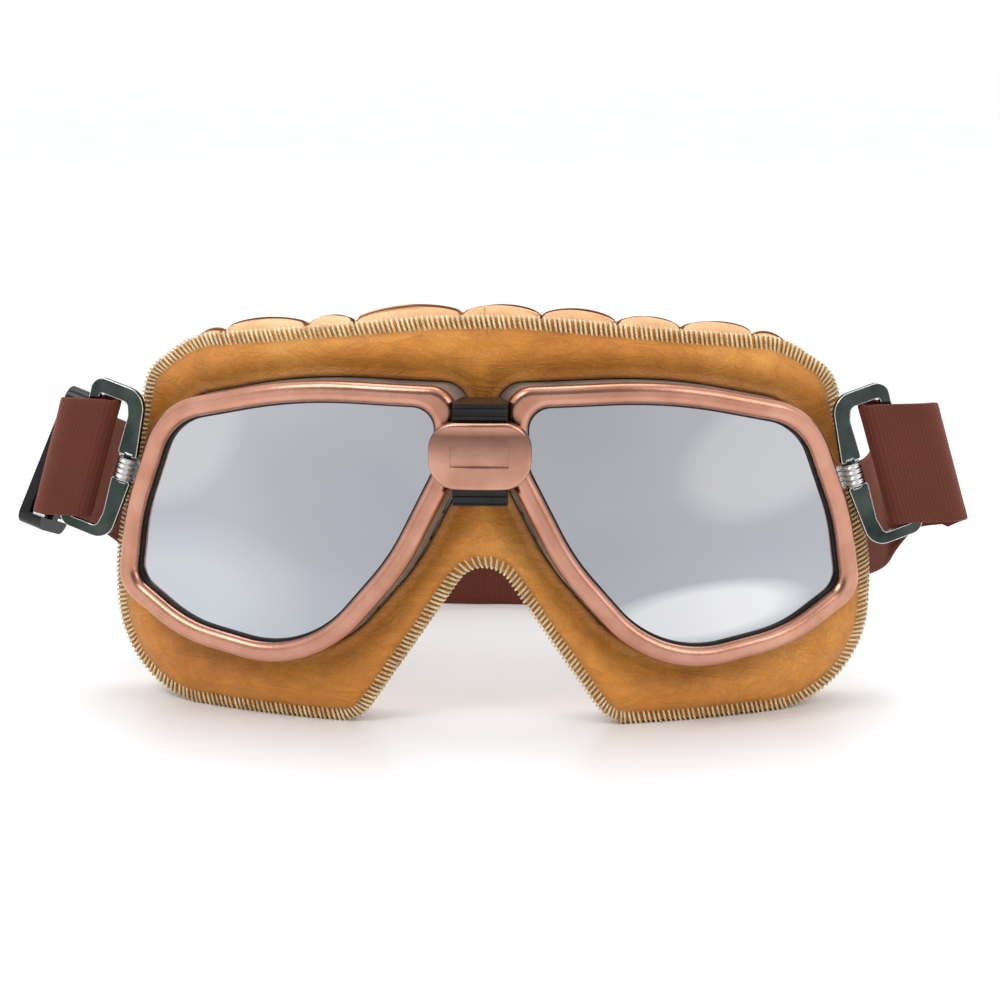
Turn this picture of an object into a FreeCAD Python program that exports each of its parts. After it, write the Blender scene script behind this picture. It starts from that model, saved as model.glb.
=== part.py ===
import FreeCAD, Part
import math
import os

from FreeCAD import Placement, Rotation, Vector

# Vintage riding goggles: two wrapped eyecups with curved lenses, a padded leather face
# and an elastic strap held by two swinging hooks. Millimetres, +X right, +Y back, +Z up.
# The goggles stand on the cheek lobes of the face pad and on the back of the strap.

doc = FreeCAD.newDocument("goggles")
sheet = doc.addObject("Spreadsheet::Sheet", "sizes")

SIZES = [
    ("overall_depth", 150.0),      # bridge plate to the back of the strap
    ("wrap_angle", 17.5),          # each eyecup turns back by this much
    ("bend_radius", 190.0),        # curve of rims, lenses and eyecups
    ("bend_centre", 51.5),         # where that curve points straight forward
    ("rim_width", 4.8),
    ("rim_thickness", 2.6),
    ("rim_round", 1.8),            # rounding of the rim's front edges
    ("lens_edge", 3.9),            # lens edge, measured in from the rim's outer edge
    ("lens_front", 3.2),
    ("lens_thickness", 1.8),
    ("gasket_lip", 5.3),
    ("gasket_lap", 0.6),           # rubber outside and behind the lens edge
    ("cup_wall", 3.0),
    ("cup_depth", 13.2),
    ("seat_thickness", 1.2),
    ("vent_width", 2.4),
    ("vent_length", 5.6),
    ("mesh_thickness", 0.5),
    ("face_radius", 142.0),        # curve of the leather and foam round the face
    ("leather_front", 18.5),
    ("leather_thickness", 2.5),
    ("foam_thickness", 6.0),
    ("pad_thickness", 8.0),
    ("stitch_width", 2.6),
    ("stitch_thickness", 0.6),
    ("plate_width", 23.6),
    ("plate_height", 15.4),
    ("plate_thickness", 3.0),
    ("plate_round", 6.4),
    ("plate_dome", 40.0),          # radius of the plate's curve across
    ("plate_edge_round", 0.8),
    ("panel_width", 13.4),         # the plate's plain sunk panel
    ("panel_height", 5.0),
    ("panel_depth", 1.3),
    ("plate_height_up", 68.1),     # height of the plate's centre
    ("block_width", 12.6),
    ("block_height", 23.6),
    ("block_back", 13.4),          # back of the block, behind the plate's front
    ("block_straight", 7.0),       # the wedge narrows behind this depth
    ("rib_pitch", 1.6),
    ("screw_spread", 5.0),         # above and below the plate's centre
    ("screw_start", 2.0),
    ("screw_shank", 1.0),          # radius
    ("screw_cap", 1.8),            # radius
    ("screw_cap_height", 1.4),
    ("pivot_out", 94.3),           # pivot, in the eyecup's own frame
    ("pivot_depth", 9.0),
    ("pivot_up", 58.5),
    ("pivot_tilt", 17.0),          # the pivot leans, its foot outward
    ("pivot_bar", 1.2),            # radius of the hook's round bar
    ("pivot_play", 0.05),
    ("knuckle_wall", 1.2),
    ("knuckle_length", 5.6),
    ("lug_arm", 2.0),              # thickness of the lug's arm
    ("foot_out", 6.2),             # inner face of the lug's foot, in from the pivot
    ("foot_thickness", 1.4),
    ("foot_width", 5.6),
    ("foot_height", 17.0),
    ("rivet_spread", 6.2),
    ("rivet_shank", 0.7),          # radius
    ("rivet_length", 2.6),
    ("rivet_head", 1.35),          # radius
    ("hook_thickness", 1.4),
    ("hook_half_height", 19.2),
    ("hook_band", 2.6),            # width of the lower plate's end band
    ("hook_top_band", 3.6),        # and of the upper plate's
    ("bar_centre", 12.4),          # hook's open outer bar, out from the pivot
    ("strap_width", 29.0),
    ("strap_thickness", 1.5),
    ("loop_radius", 2.4),          # strap's mid line round the hook's bar
    ("strap_skew", 18.0),          # how far the strap runs off square to the bar
    ("slider_length", 16.0),
    ("slider_height", 36.0),
    ("slider_inside", 2.6),        # slider's inner face, in from the strap's middle
    ("slider_outside", 2.6),       # its outer face at the back end
    ("slider_flare", 3.6),         # and at the front end, which stands proud of the fold
    ("slider_channel", 2.2),
    ("slider_bar", 3.4),
    ("slider_end_bar", 2.6),
]


def cell_name(row):
    return "B%d" % (row + 1)


for row, (alias, value) in enumerate(SIZES):
    sheet.set("A%d" % (row + 1), alias)
    sheet.set(cell_name(row), str(value))
    sheet.setAlias(cell_name(row), alias)
doc.recompute()


def size(alias):
    return float(sheet.get(alias))


SIDES = (("left", -1), ("right", 1))
FRONT_Y = -size("overall_depth") / 2
FAR = 300.0                        # past everything
DEEP = 130.0                       # deeper than any curved layer
EYE_SPAN = 60.0                    # half the width that each curved layer is cut over
FACE_SPAN = 99.0
PLATE_SPAN = 20.0
SMALLEST_CORNER = 5.0              # corners stay at least this round when an outline is inset

# Front outlines, one side only: across, up, corner radius.
# The eye outline lies in the eyecup's own frame, the face outline in the front view.
EYE = [
    (8.1, 82.8, 6.0),
    (46.0, 83.8, 120.0),
    (82.5, 75.7, 20.0),
    (92.9, 49.5, 50.0),
    (95.8, 30.0, 7.5),
    (77.4, 18.8, 40.0),
    (42.6, 12.8, 32.0),
    (19.7, 39.6, 60.0),
    (8.4, 62.4, 13.0),
]
FACE_HALF = [
    (0.0, 98.9, 200.0),
    (70.0, 90.6, 20.0),
    (82.6, 81.5, 12.0),
    (93.0, 33.0, 60.0),
    (91.5, 0.6, 23.0),
    (30.0, 0.6, 9.0),
    (0.0, 45.0, 7.5),
]
PAD_HALF = [
    (0.0, 101.4, 200.0),
    (66.0, 93.6, 20.0),
    (79.0, 83.0, 12.0),
    (89.0, 33.0, 60.0),
    (87.5, 0.0, 22.0),
    (32.5, 0.0, 9.0),
    (0.0, 48.0, 7.5),
]


# Rows of vent slots: start, end, count, first and last share of the way, depth.
VENT_ROWS = [
    (EYE[-1], EYE[-2], 3, 0.36, 0.92, 12.2),
    (EYE[-2], EYE[-3], 3, 0.14, 0.56, 9.9),
    (EYE[2], EYE[3], 2, 0.16, 0.80, 11.8),
]


def both_sides(half):
    """A half outline that starts and ends on the middle line, mirrored to a whole one."""
    return half + [(-x, z, r) for x, z, r in reversed(half[1:-1])]


def inset(corners, distance):
    """Every side of an outline moved inward, with its corner radii to match."""
    count = len(corners)
    points = [Vector(x, z, 0) for x, z, r in corners]
    area = sum(points[i].x * points[(i + 1) % count].y - points[(i + 1) % count].x * points[i].y
               for i in range(count))
    turn = 1 if area > 0 else -1
    moved = []
    for i in range(count):
        before = (points[i] - points[i - 1]).normalize()
        after = (points[(i + 1) % count] - points[i]).normalize()
        normal = Vector(-before.y, before.x, 0) * turn + Vector(-after.y, after.x, 0) * turn
        shift = normal * (2 * distance / normal.Length ** 2)
        convex = (before.x * after.y - before.y * after.x) * turn > 0
        radius = corners[i][2] + (-distance if convex else distance)
        corner = points[i] + shift
        moved.append((corner.x, corner.y, max(radius, SMALLEST_CORNER)))
    return moved


def outline(corners, side=1):
    """Straight sides joined by tangent arcs."""
    count = len(corners)
    starts = []
    ends = []
    middles = []
    for i in range(count):
        corner = Vector(side * corners[i][0], corners[i][1], 0)
        before = Vector(side * corners[i - 1][0], corners[i - 1][1], 0) - corner
        after = Vector(side * corners[(i + 1) % count][0], corners[(i + 1) % count][1], 0) - corner
        before.normalize()
        after.normalize()
        half = before.getAngle(after) / 2
        reach = corners[i][2] / math.tan(half)
        bisector = (before + after).normalize()
        starts.append(corner + before * reach)
        ends.append(corner + after * reach)
        middles.append(corner + bisector * (corners[i][2] / math.sin(half) - corners[i][2]))
    edges = []
    for i in range(count):
        edges.append(Part.Arc(starts[i], middles[i], ends[i]))
        edges.append(Part.LineSegment(ends[i], starts[(i + 1) % count]))
    return edges


def polygon(points):
    corners = [Vector(x, y, 0) for x, y in points]
    return [Part.LineSegment(a, b) for a, b in zip(corners, corners[1:] + corners[:1])]


def rectangle(x, y, width, height):
    return polygon([(x - width / 2, y - height / 2), (x + width / 2, y - height / 2),
                    (x + width / 2, y + height / 2), (x - width / 2, y + height / 2)])


# ---------------------------------------------------------------- bodies and frames

subparts = []


def new_body(name, place=None):
    body = doc.addObject("PartDesign::Body", name)
    body.Label = name
    body.Placement = place or Placement(Vector(0, FRONT_Y, 0), Rotation())
    subparts.append(body)
    return body


def new_shape(name, shape):
    part = doc.addObject("Part::Feature", name)
    part.Label = name
    part.Shape = shape
    subparts.append(part)
    return part


def combine(name, kind, base, tools):
    """A sub-part cut or fused from other objects; base then stops being a sub-part."""
    part = doc.addObject("Part::" + kind, name)
    part.Label = name
    part.Base = base
    if len(tools) == 1:
        part.Tool = tools[0]
    else:
        group = doc.addObject("Part::MultiFuse", name + "_tools")
        group.Shapes = tools
        part.Tool = group
    part.Refine = True
    subparts.remove(base)
    subparts.append(part)
    doc.recompute()
    return part


def sketch_on(body, plane, edges, name, offset=None):
    sketch = body.newObject("Sketcher::SketchObject", body.Name + "_" + name)
    support = [f for f in body.Origin.OriginFeatures if f.Role == plane][0]
    sketch.AttachmentSupport = [(support, "")]
    sketch.MapMode = "FlatFace"
    if offset is not None:
        sketch.AttachmentOffset = offset
    sketch.addGeometry(edges, False)
    return sketch


def feature(body, kind, sketch, length, name, both_ways=False):
    """A pad or a pocket; length is a number or an expression on the sheet."""
    step = body.newObject("PartDesign::" + kind, body.Name + "_" + name)
    step.Profile = sketch
    if isinstance(length, str):
        step.setExpression("Length", length)
    else:
        step.Length = length
    step.Midplane = both_ways
    sketch.Visibility = False
    doc.recompute()
    return step


def cut_away(body, sketch, depth, name):
    """A pocket that goes whichever way removes material."""
    before = body.Shape.Volume
    step = feature(body, "Pocket", sketch, depth, name)
    if body.Shape.Volume > before - 1:
        step.Reversed = True
        doc.recompute()
    return step


def cup_frame(side):
    """An eyecup's own frame: X outward along the lens, Y into the cup."""
    return Placement(Vector(0, FRONT_Y, 0), Rotation(Vector(0, 0, 1), side * size("wrap_angle")))


def cup_place(body, side):
    """Puts a body in its eyecup's frame, driven by the sheet."""
    body.Placement = Placement(Vector(0, FRONT_Y, 0), Rotation(Vector(0, 0, side), size("wrap_angle")))
    body.setExpression("Placement.Rotation.Angle", "sizes.wrap_angle * 1 deg")
    body.setExpression("Placement.Base.y", "-sizes.overall_depth / 2 * 1 mm")


def hook_frame(side):
    """The pivot's frame: X out from the eyecup, Y back, Z up along the pivot."""
    pivot = Vector(side * size("pivot_out"), size("pivot_depth"), size("pivot_up"))
    lean = Placement(pivot, Rotation(Vector(0, 1, 0), -side * size("pivot_tilt")))
    return cup_frame(side) * lean


def bent_slab(centre, radius, front, back, span):
    """Top view of what lies in front of and behind a curved layer, to be cut away."""
    cuts = []
    rise = radius - math.sqrt(radius ** 2 - span ** 2)
    for depth, limit in ((front, -DEEP), (back, DEEP)):
        left = Vector(centre - span, depth + rise, 0)
        right = Vector(centre + span, depth + rise, 0)
        middle = Vector(centre, depth, 0)
        cuts.append(Part.Arc(left, middle, right))
        cuts.append(Part.LineSegment(right, Vector(right.x, limit, 0)))
        cuts.append(Part.LineSegment(Vector(right.x, limit, 0), Vector(left.x, limit, 0)))
        cuts.append(Part.LineSegment(Vector(left.x, limit, 0), left))
    return cuts


def curved_layer(body, edges, centre, radius, front, back, span):
    """A front outline padded deep, then cut to the layer between two curved surfaces."""
    face = sketch_on(body, "XZ_Plane", edges, "outline")
    feature(body, "Pad", face, 1.8 * DEEP, "pad", both_ways=True)
    layer = sketch_on(body, "XY_Plane", bent_slab(centre, radius, front, back, span), "layer")
    return feature(body, "Pocket", layer, 2 * FAR, "trim", both_ways=True)


# ---------------------------------------------------------------- eyecups, rims and lenses

def eye_layer(name, side, outer, inner, front, back):
    body = new_body(name)
    cup_place(body, side)
    edges = outline(inset(EYE, outer), side)
    if inner is not None:
        edges = edges + outline(inset(EYE, inner), side)
    centre = side * size("bend_centre")
    curved_layer(body, edges, centre, size("bend_radius"), front, back, EYE_SPAN)
    return body


def front_edges(step, radius, side):
    """Names of the edges that lie on the layer's front surface."""
    names = []
    centre = Vector(side * size("bend_centre"), size("bend_radius"), 0)
    for number, edge in enumerate(step.Shape.Edges, 1):
        points = [edge.valueAt(edge.FirstParameter), edge.valueAt(edge.LastParameter)]
        points.append(edge.valueAt((edge.FirstParameter + edge.LastParameter) / 2))
        reach = [math.hypot(p.x - centre.x, p.y - centre.y) for p in points]
        if max(abs(r - radius) for r in reach) < 0.01:
            names.append("Edge%d" % number)
    return names


def make_rim(side_name, side):
    body = eye_layer(side_name + "_rim", side, 0.0, size("rim_width"), 0.0, size("rim_thickness"))
    names = front_edges(body.Tip, size("bend_radius"), side)
    step = body.newObject("PartDesign::Fillet", side_name + "_rim_round")
    step.Base = (body.Group[-2], names)
    step.setExpression("Radius", "sizes.rim_round * 1 mm")
    doc.recompute()


def make_lens(side_name, side):
    front = size("lens_front")
    eye_layer(side_name + "_lens", side, size("lens_edge"), None, front, front + size("lens_thickness"))


def make_gasket(side_name, side):
    """A soft U-shaped ring: two lips with the lens edge in the groove between them."""
    back = size("lens_front") + size("lens_thickness") + size("gasket_lap")
    outer = size("lens_edge") - size("gasket_lap")
    front = size("rim_thickness")
    ring = eye_layer(side_name + "_gasket_ring", side, outer, size("gasket_lip"), front, back)
    combine(side_name + "_lens_gasket", "Cut", ring, [doc.getObject(side_name + "_lens")])


def vent_slots(side, row):
    """One row of slots across the wall, seen from the front."""
    slots = []
    start, end, count, first, last, depth = row
    along = Vector(end[0] - start[0], end[1] - start[1], 0)
    step = along / along.Length
    reach = Vector(-step.y, step.x, 0) * (2 * size("cup_wall"))
    half = step * (size("vent_length") / 2)
    for i in range(count):
        share = first + (last - first) * i / (count - 1)
        middle = Vector(start[0], start[1], 0) + along * share
        corners = [middle - half - reach, middle + half - reach,
                   middle + half + reach, middle - half + reach]
        slots += polygon([(side * p.x, p.y) for p in corners])
    return slots


def make_eyecup(side_name, side):
    """The cast wall with its vent slots, and the seat that the gasket rests on."""
    wall = eye_layer(side_name + "_cup_wall", side, 0.3, size("cup_wall"), size("rim_thickness"),
                     size("cup_depth"))
    for number, row in enumerate(VENT_ROWS):
        plane = Placement(Vector(0, 0, -row[-1] - size("vent_width") / 2), Rotation())
        slots = sketch_on(wall, "XZ_Plane", vent_slots(side, row), "vents%d" % number, plane)
        feature(wall, "Pocket", slots, size("vent_width"), "vent_cut%d" % number, both_ways=True)
    front = size("lens_front") + size("lens_thickness") + size("gasket_lap")
    seat = eye_layer(side_name + "_cup_seat", side, size("cup_wall"), size("gasket_lip"), front,
                     front + size("seat_thickness"))
    subparts.remove(seat)
    combine(side_name + "_eyecup", "Fuse", wall, [seat])


def make_vent_mesh(side_name, side):
    wall = size("cup_wall")
    back = size("cup_depth") - 1.0
    seat_back = size("lens_front") + size("lens_thickness") + size("gasket_lap") + size("seat_thickness")
    eye_layer(side_name + "_vent_mesh", side, wall, wall + size("mesh_thickness"), seat_back, back)


for side_name, side in SIDES:
    make_rim(side_name, side)
    make_lens(side_name, side)
    make_gasket(side_name, side)
    make_eyecup(side_name, side)
    make_vent_mesh(side_name, side)

# ---------------------------------------------------------------- padded face

def face_layer(name, half, shrink, front, back, opening):
    """One layer of the face, open where the eyecups pass through."""
    body = new_body(name)
    body.setExpression("Placement.Base.y", "-sizes.overall_depth / 2 * 1 mm")
    offset = size("leather_front")
    edges = outline(inset(both_sides(half), shrink))
    curved_layer(body, edges, 0.0, size("face_radius"), offset + front, offset + back, FACE_SPAN)
    for side_name, side in SIDES:
        hole = sketch_on(body, "XZ_Plane", outline(inset(EYE, opening), side), side_name + "_eye",
                         Placement(Vector(), Rotation(Vector(0, 1, 0), side * size("wrap_angle"))))
        feature(body, "Pocket", hole, 2 * FAR, side_name + "_opening", both_ways=True)
    return body


leather = size("leather_thickness")
foam = size("foam_thickness")
face_layer("leather_mask", FACE_HALF, 0.0, 0.0, leather, 0.2)
face_layer("foam_core", FACE_HALF, 1.6, leather, leather + foam, 3.4)
face_layer("face_pad", PAD_HALF, 0.0, leather + foam, leather + foam + size("pad_thickness"), 3.4)


def make_stitching():
    """The band of whip stitches that lies on the leather's front edge."""
    body = new_body("edge_stitching")
    body.setExpression("Placement.Base.y", "-sizes.overall_depth / 2 * 1 mm")
    offset = size("leather_front")
    edges = outline(both_sides(FACE_HALF)) + outline(inset(both_sides(FACE_HALF), size("stitch_width")))
    front = offset - size("stitch_thickness")
    curved_layer(body, edges, 0.0, size("face_radius"), front, offset, FACE_SPAN)


make_stitching()

# ---------------------------------------------------------------- bridge

def make_bridge_plate():
    """A domed plate with bulging ends and a shallow plain panel."""
    half_width = size("plate_width") / 2
    half_height = size("plate_height") / 2
    corner = size("plate_round")
    shape = [(-half_width, half_height, corner), (half_width, half_height, corner),
             (half_width, -half_height, corner), (-half_width, -half_height, corner)]
    body = new_body("bridge_plate", Placement(Vector(0, FRONT_Y, size("plate_height_up")), Rotation()))
    dome = size("plate_dome")
    curved_layer(body, outline(shape), 0.0, dome, 0.0, size("plate_thickness"), PLATE_SPAN)
    ahead = Placement(Vector(0, 0, size("plate_thickness")), Rotation())
    sunk = rectangle(0, 0, size("panel_width"), size("panel_height"))
    panel = sketch_on(body, "XZ_Plane", sunk, "panel", ahead)
    step = cut_away(body, panel, size("plate_thickness") + size("panel_depth"), "panel_cut")
    names = []
    for number, edge in enumerate(body.Shape.Edges, 1):
        middle = edge.valueAt((edge.FirstParameter + edge.LastParameter) / 2)
        middle = body.Placement.inverse().multVec(middle)
        front = abs(math.hypot(middle.x, middle.y - dome) - dome) < 0.01
        outer = abs(middle.x) > size("panel_width") / 2 + 1 or abs(middle.z) > size("panel_height") / 2 + 1
        if front and outer:
            names.append("Edge%d" % number)
    round_step = body.newObject("PartDesign::Fillet", "bridge_plate_round")
    round_step.Base = (step, names)
    round_step.setExpression("Radius", "sizes.plate_edge_round * 1 mm")
    doc.recompute()


def make_bridge_block():
    """A ribbed wedge between the eyecups, narrowing to the back with the wrap."""
    front = size("plate_thickness")
    back = size("block_back")
    straight = size("block_straight")
    half = size("block_width") / 2
    narrow = half - (back - straight) * math.tan(math.radians(size("wrap_angle")))
    foot = Vector(0, FRONT_Y, size("plate_height_up") - size("block_height") / 2)
    body = new_body("bridge_wedge", Placement(foot, Rotation()))
    corners = [(-half, front), (half, front), (half, straight),
               (narrow, back), (-narrow, back), (-half, straight)]
    wedge = sketch_on(body, "XY_Plane", polygon(corners), "wedge")
    feature(body, "Pad", wedge, "sizes.block_height * 1 mm", "pad")
    groove_size = size("rib_pitch") / 2
    groove = sketch_on(body, "YZ_Plane", rectangle(front, groove_size, 1.0, groove_size), "groove")
    first = feature(body, "Pocket", groove, 2 * FAR, "groove_cut", both_ways=True)
    pattern = body.newObject("PartDesign::LinearPattern", "bridge_ribs")
    pattern.Originals = [first]
    pattern.Direction = ([f for f in body.Origin.OriginFeatures if f.Role == "Z_Axis"][0], [""])
    pattern.setExpression("Length", "(sizes.block_height - sizes.rib_pitch) * 1 mm")
    pattern.Occurrences = int(size("block_height") / size("rib_pitch"))
    body.Tip = pattern
    doc.recompute()
    recess = Placement(Vector(0, 0, -back), Rotation())
    for label, way in (("lower", -1), ("upper", 1)):
        middle = Vector(0, size("block_height") / 2 + way * size("screw_spread"), 0)
        circles = [Part.Circle(middle, Vector(0, 0, 1), size("screw_shank"))]
        shank = sketch_on(body, "XZ_Plane", circles, label + "_shank")
        feature(body, "Pocket", shank, 2 * FAR, label + "_shank_hole", both_ways=True)
        circles = [Part.Circle(middle, Vector(0, 0, 1), size("screw_cap"))]
        cap = sketch_on(body, "XZ_Plane", circles, label + "_cap", recess)
        cut_away(body, cap, size("screw_cap_height"), label + "_cap_hole")
    neighbours = ["bridge_plate"] + [n + p for n in ("left", "right") for p in ("_rim", "_eyecup")]
    combine("bridge_block", "Cut", body, [doc.getObject(n) for n in neighbours])


def make_bridge_screws():
    """Two screws from the block into the back of the plate."""
    solids = []
    back = size("block_back")
    for way in (-1, 1):
        up = size("plate_height_up") + way * size("screw_spread")
        start = Vector(0, FRONT_Y + size("screw_start"), up)
        shank = Part.makeCylinder(size("screw_shank"), back - size("screw_start"), start, Vector(0, 1, 0))
        cap_start = Vector(0, FRONT_Y + back - size("screw_cap_height"), start.z)
        cap = Part.makeCylinder(size("screw_cap"), size("screw_cap_height"), cap_start, Vector(0, 1, 0))
        solids.append(shank.fuse(cap).removeSplitter())
    return Part.makeCompound(solids)


make_bridge_plate()
make_bridge_block()
new_shape("bridge_screws", make_bridge_screws())

# ---------------------------------------------------------------- hooks and their lugs

KNUCKLE_HALF = size("knuckle_length") / 2
PLATE_START = KNUCKLE_HALF + 0.3   # the hook's plates begin just past the knuckle


def hook_plate(side, up):
    """Upper (up=1) or lower (up=-1) plate: band, end band and the prong that curls back."""
    top = size("hook_half_height")
    inner = -2.2
    outer = size("bar_centre") + 1.2
    slot = top - size("hook_top_band" if up > 0 else "hook_band")
    corners = [(inner, PLATE_START, 0.6), (2.8, PLATE_START, 0.6), (2.6, 12.6, 2.0), (3.6, slot, 1.6),
               (outer - 2.4, slot, 0.9), (outer - 2.4, 11.4, 0.5), (outer, 11.4, 0.5),
               (outer + 0.3, top, 3.2), (-0.4, top, 5.0)]
    corners = [(x, up * z, r) for x, z, r in corners]
    return outline(corners, side)


def make_hook(side_name, side):
    """A stamped hook: two flat plates joined by the round bar that turns in the lug."""
    body = new_body(side_name + "_strap_hook", hook_frame(side))
    bar = [Part.Circle(Vector(), Vector(0, 0, 1), size("pivot_bar"))]
    core = sketch_on(body, "XY_Plane", bar, "bar")
    feature(body, "Pad", core, 2 * PLATE_START + 1.2, "bar_pad", both_ways=True)
    for up in (1, -1):
        plate = sketch_on(body, "XZ_Plane", hook_plate(side, up), "plate%d" % (up > 0))
        feature(body, "Pad", plate, "sizes.hook_thickness * 1 mm", "plate_pad%d" % (up > 0), both_ways=True)
    return body


def make_lug(side_name, side):
    """A knuckle round the hook's bar, an arm and a foot riveted to the eyecup's wall."""
    frame = hook_frame(side)
    bore = size("pivot_bar") + size("pivot_play")
    outer = bore + size("knuckle_wall")
    half = KNUCKLE_HALF
    start = Vector(0, 0, -half)
    knuckle = Part.makeCylinder(outer, 2 * half, start, Vector(0, 0, 1))
    reach = size("foot_out") + 2 * size("foot_thickness")
    arm = Part.makeBox(reach, size("lug_arm"), 2 * half, Vector(-reach, 0.4, -half))
    corner = Vector(-size("foot_out"), -2.6, -size("foot_height") / 2)
    foot = Part.makeBox(size("foot_thickness"), size("foot_width"), size("foot_height"), corner)
    solid = knuckle.fuse([arm, foot])
    solid = solid.cut(Part.makeCylinder(bore, 4 * half, Vector(0, 0, -2 * half), Vector(0, 0, 1)))
    if side < 0:
        solid = solid.mirror(Vector(), Vector(1, 0, 0))
    solid.transformShape(frame.toMatrix())
    neighbours = [side_name + "_eyecup", side_name + "_rim", side_name + "_lug_rivets", "leather_mask"]
    solid = solid.cut([doc.getObject(n).Shape for n in neighbours])
    largest = max(solid.Solids, key=lambda piece: piece.Volume)
    new_shape(side_name + "_hook_lug", largest)


def make_lug_rivets(side_name, side):
    solids = []
    outward = Vector(1, 0, 0)
    foot_face = size("foot_thickness") - size("foot_out")
    for way in (-1, 1):
        seat = Vector(foot_face, 1.0, way * size("rivet_spread"))
        start = seat - outward * (size("rivet_length") - 0.2)
        shank = Part.makeCylinder(size("rivet_shank"), size("rivet_length"), start, outward)
        head = Part.makeSphere(size("rivet_head"), seat, outward, 0, 90, 360)
        solids.append(shank.fuse(head).removeSplitter())
    group = Part.makeCompound(solids)
    if side < 0:
        group = group.mirror(Vector(), Vector(1, 0, 0))
    group.transformShape(hook_frame(side).toMatrix())
    new_shape(side_name + "_lug_rivets", group)


for side_name, side in SIDES:
    make_hook(side_name, side)
    make_lug_rivets(side_name, side)
    make_lug(side_name, side)

# ---------------------------------------------------------------- strap

HALF_THICK = size("strap_thickness") / 2
LOOP = size("loop_radius")
SKEW = math.radians(size("strap_skew"))
BAR = size("bar_centre")
STRAP_DROP = -1.5                  # the strap hangs a little low in the hook
LAYER_END = {"left": 15.4, "right": 19.0}   # where the front layer meets the fold
FOLD_RADIUS = {"left": 6.0, "right": 6.6}
LOOP_AT = 8.8                      # middle of the loop, out from the pivot
TAIL = 5.0                         # the sewn tail behind the loop
SLIDER_AT = 9.4                    # slider's middle, back from the fold
SIDE_RUN = 33.0                    # straight run through the slider


class Station:
    """One cross-section of the strap: its middle, its width and its thickness direction."""

    def __init__(self, middle, width, normal):
        self.middle = middle
        self.width = width
        self.normal = normal

    def wire(self):
        corners = []
        for across, through in ((1, 1), (1, -1), (-1, -1), (-1, 1)):
            corners.append(self.middle + self.width * across + self.normal * (HALF_THICK * through))
        return Part.makePolygon(corners + [corners[0]])


def band(stations):
    return Part.makeLoft([s.wire() for s in stations], True, True)


def hook_station(side, out, back, travel, facing, lean=1.0):
    """A station in the hook's frame; travel is the run from the hook's bar.

    The strap runs skewed to the pivot, so it slips down the pivot as it travels.
    facing is the outward normal's angle from the hook's X toward its Y, in degrees.
    lean 1 keeps the section along the pivot, lean 0 squares it to the strap.
    """
    frame = hook_frame(side)
    turn = math.radians(facing)
    normal = Vector(side * math.cos(turn), math.sin(turn), 0)
    along = Vector(-side * math.sin(turn), math.cos(turn), 0)
    half = size("strap_width") / 2
    width = Vector(0, 0, half / math.cos(SKEW)) * lean
    squared = (Vector(0, 0, math.cos(SKEW)) + along * math.sin(SKEW)) * half
    width = width + squared * (1 - lean)
    middle = Vector(side * out, back, STRAP_DROP - travel * math.tan(SKEW))
    rotate = frame.Rotation
    return Station(frame.multVec(middle), rotate.multVec(width), rotate.multVec(normal))


def loop_stations(side):
    """Round the hook's bar, from the tail behind it to the front layer."""
    start = LOOP_AT - BAR
    stations = [hook_station(side, LOOP_AT + TAIL, LOOP, start + TAIL, 90)]
    for facing in range(90, 271, 30):
        turn = math.radians(facing)
        out = LOOP_AT + LOOP * math.cos(turn)
        travel = start + LOOP * (facing - 270) * 0.006
        stations.append(hook_station(side, out, LOOP * math.sin(turn), travel, facing))
    return stations


def fold_stations(side_name, side, angles):
    """Round the fold at the outer end of the front layer."""
    radius = FOLD_RADIUS[side_name]
    centre_out = LAYER_END[side_name]
    run = centre_out - BAR
    stations = []
    for angle in angles:
        turn = math.radians(angle - 90)
        travel = run + radius * math.radians(angle)
        out = centre_out + radius * math.cos(turn)
        back = radius - LOOP + radius * math.sin(turn)
        stations.append(hook_station(side, out, back, travel, angle - 90))
    return stations


def front_layer(side_name, side):
    """The end of the flat layer that runs from the loop out to the fold."""
    end = LAYER_END[side_name] - 0.5
    return [hook_station(side, end, -LOOP, end - BAR, 270)]


def side_run(side_name, side):
    """The straight run behind the left fold, which the slider rides on."""
    radius = FOLD_RADIUS[side_name]
    out = LAYER_END[side_name] + radius
    start_back = radius - LOOP
    start_travel = LAYER_END[side_name] - BAR + radius * math.pi / 2
    stations = []
    for run in (6.0, SIDE_RUN):
        stations.append(hook_station(side, out, start_back + run, start_travel + run, 0, lean=0.0))
    return stations


def free_stations(start, points, end, count):
    """Even stations along the free strap, upright except where it leaves its two ends."""
    leave = start.width.cross(start.normal).normalize() * LEAD
    arrive = end.width.cross(end.normal).normalize() * LEAD
    route = [start.middle, start.middle + leave] + points + [end.middle - arrive, end.middle]
    curve = Part.BSplineCurve()
    curve.interpolate(Points=route)
    middles = curve.discretize(Number=count)
    half = size("strap_width") / 2
    stations = [start]
    for middle in middles[1:-1]:
        along = Vector(curve.tangent(curve.parameter(middle))[0])
        width = Vector(0, 0, 1) - along * along.z
        width = width.normalize() * half
        for other in (start, end):
            near = 1 - (middle - other.middle).Length / ALIGN_LENGTH
            if near > 0:
                share = near * near * (3 - 2 * near)
                width = width * (1 - share) + other.width * share
        width = width.normalize() * half
        stations.append(Station(middle, width, along.cross(width).normalize()))
    return stations + [end]


def route_points(points):
    return [Vector(x, FRONT_Y + y, z) for x, y, z in points]


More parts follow.
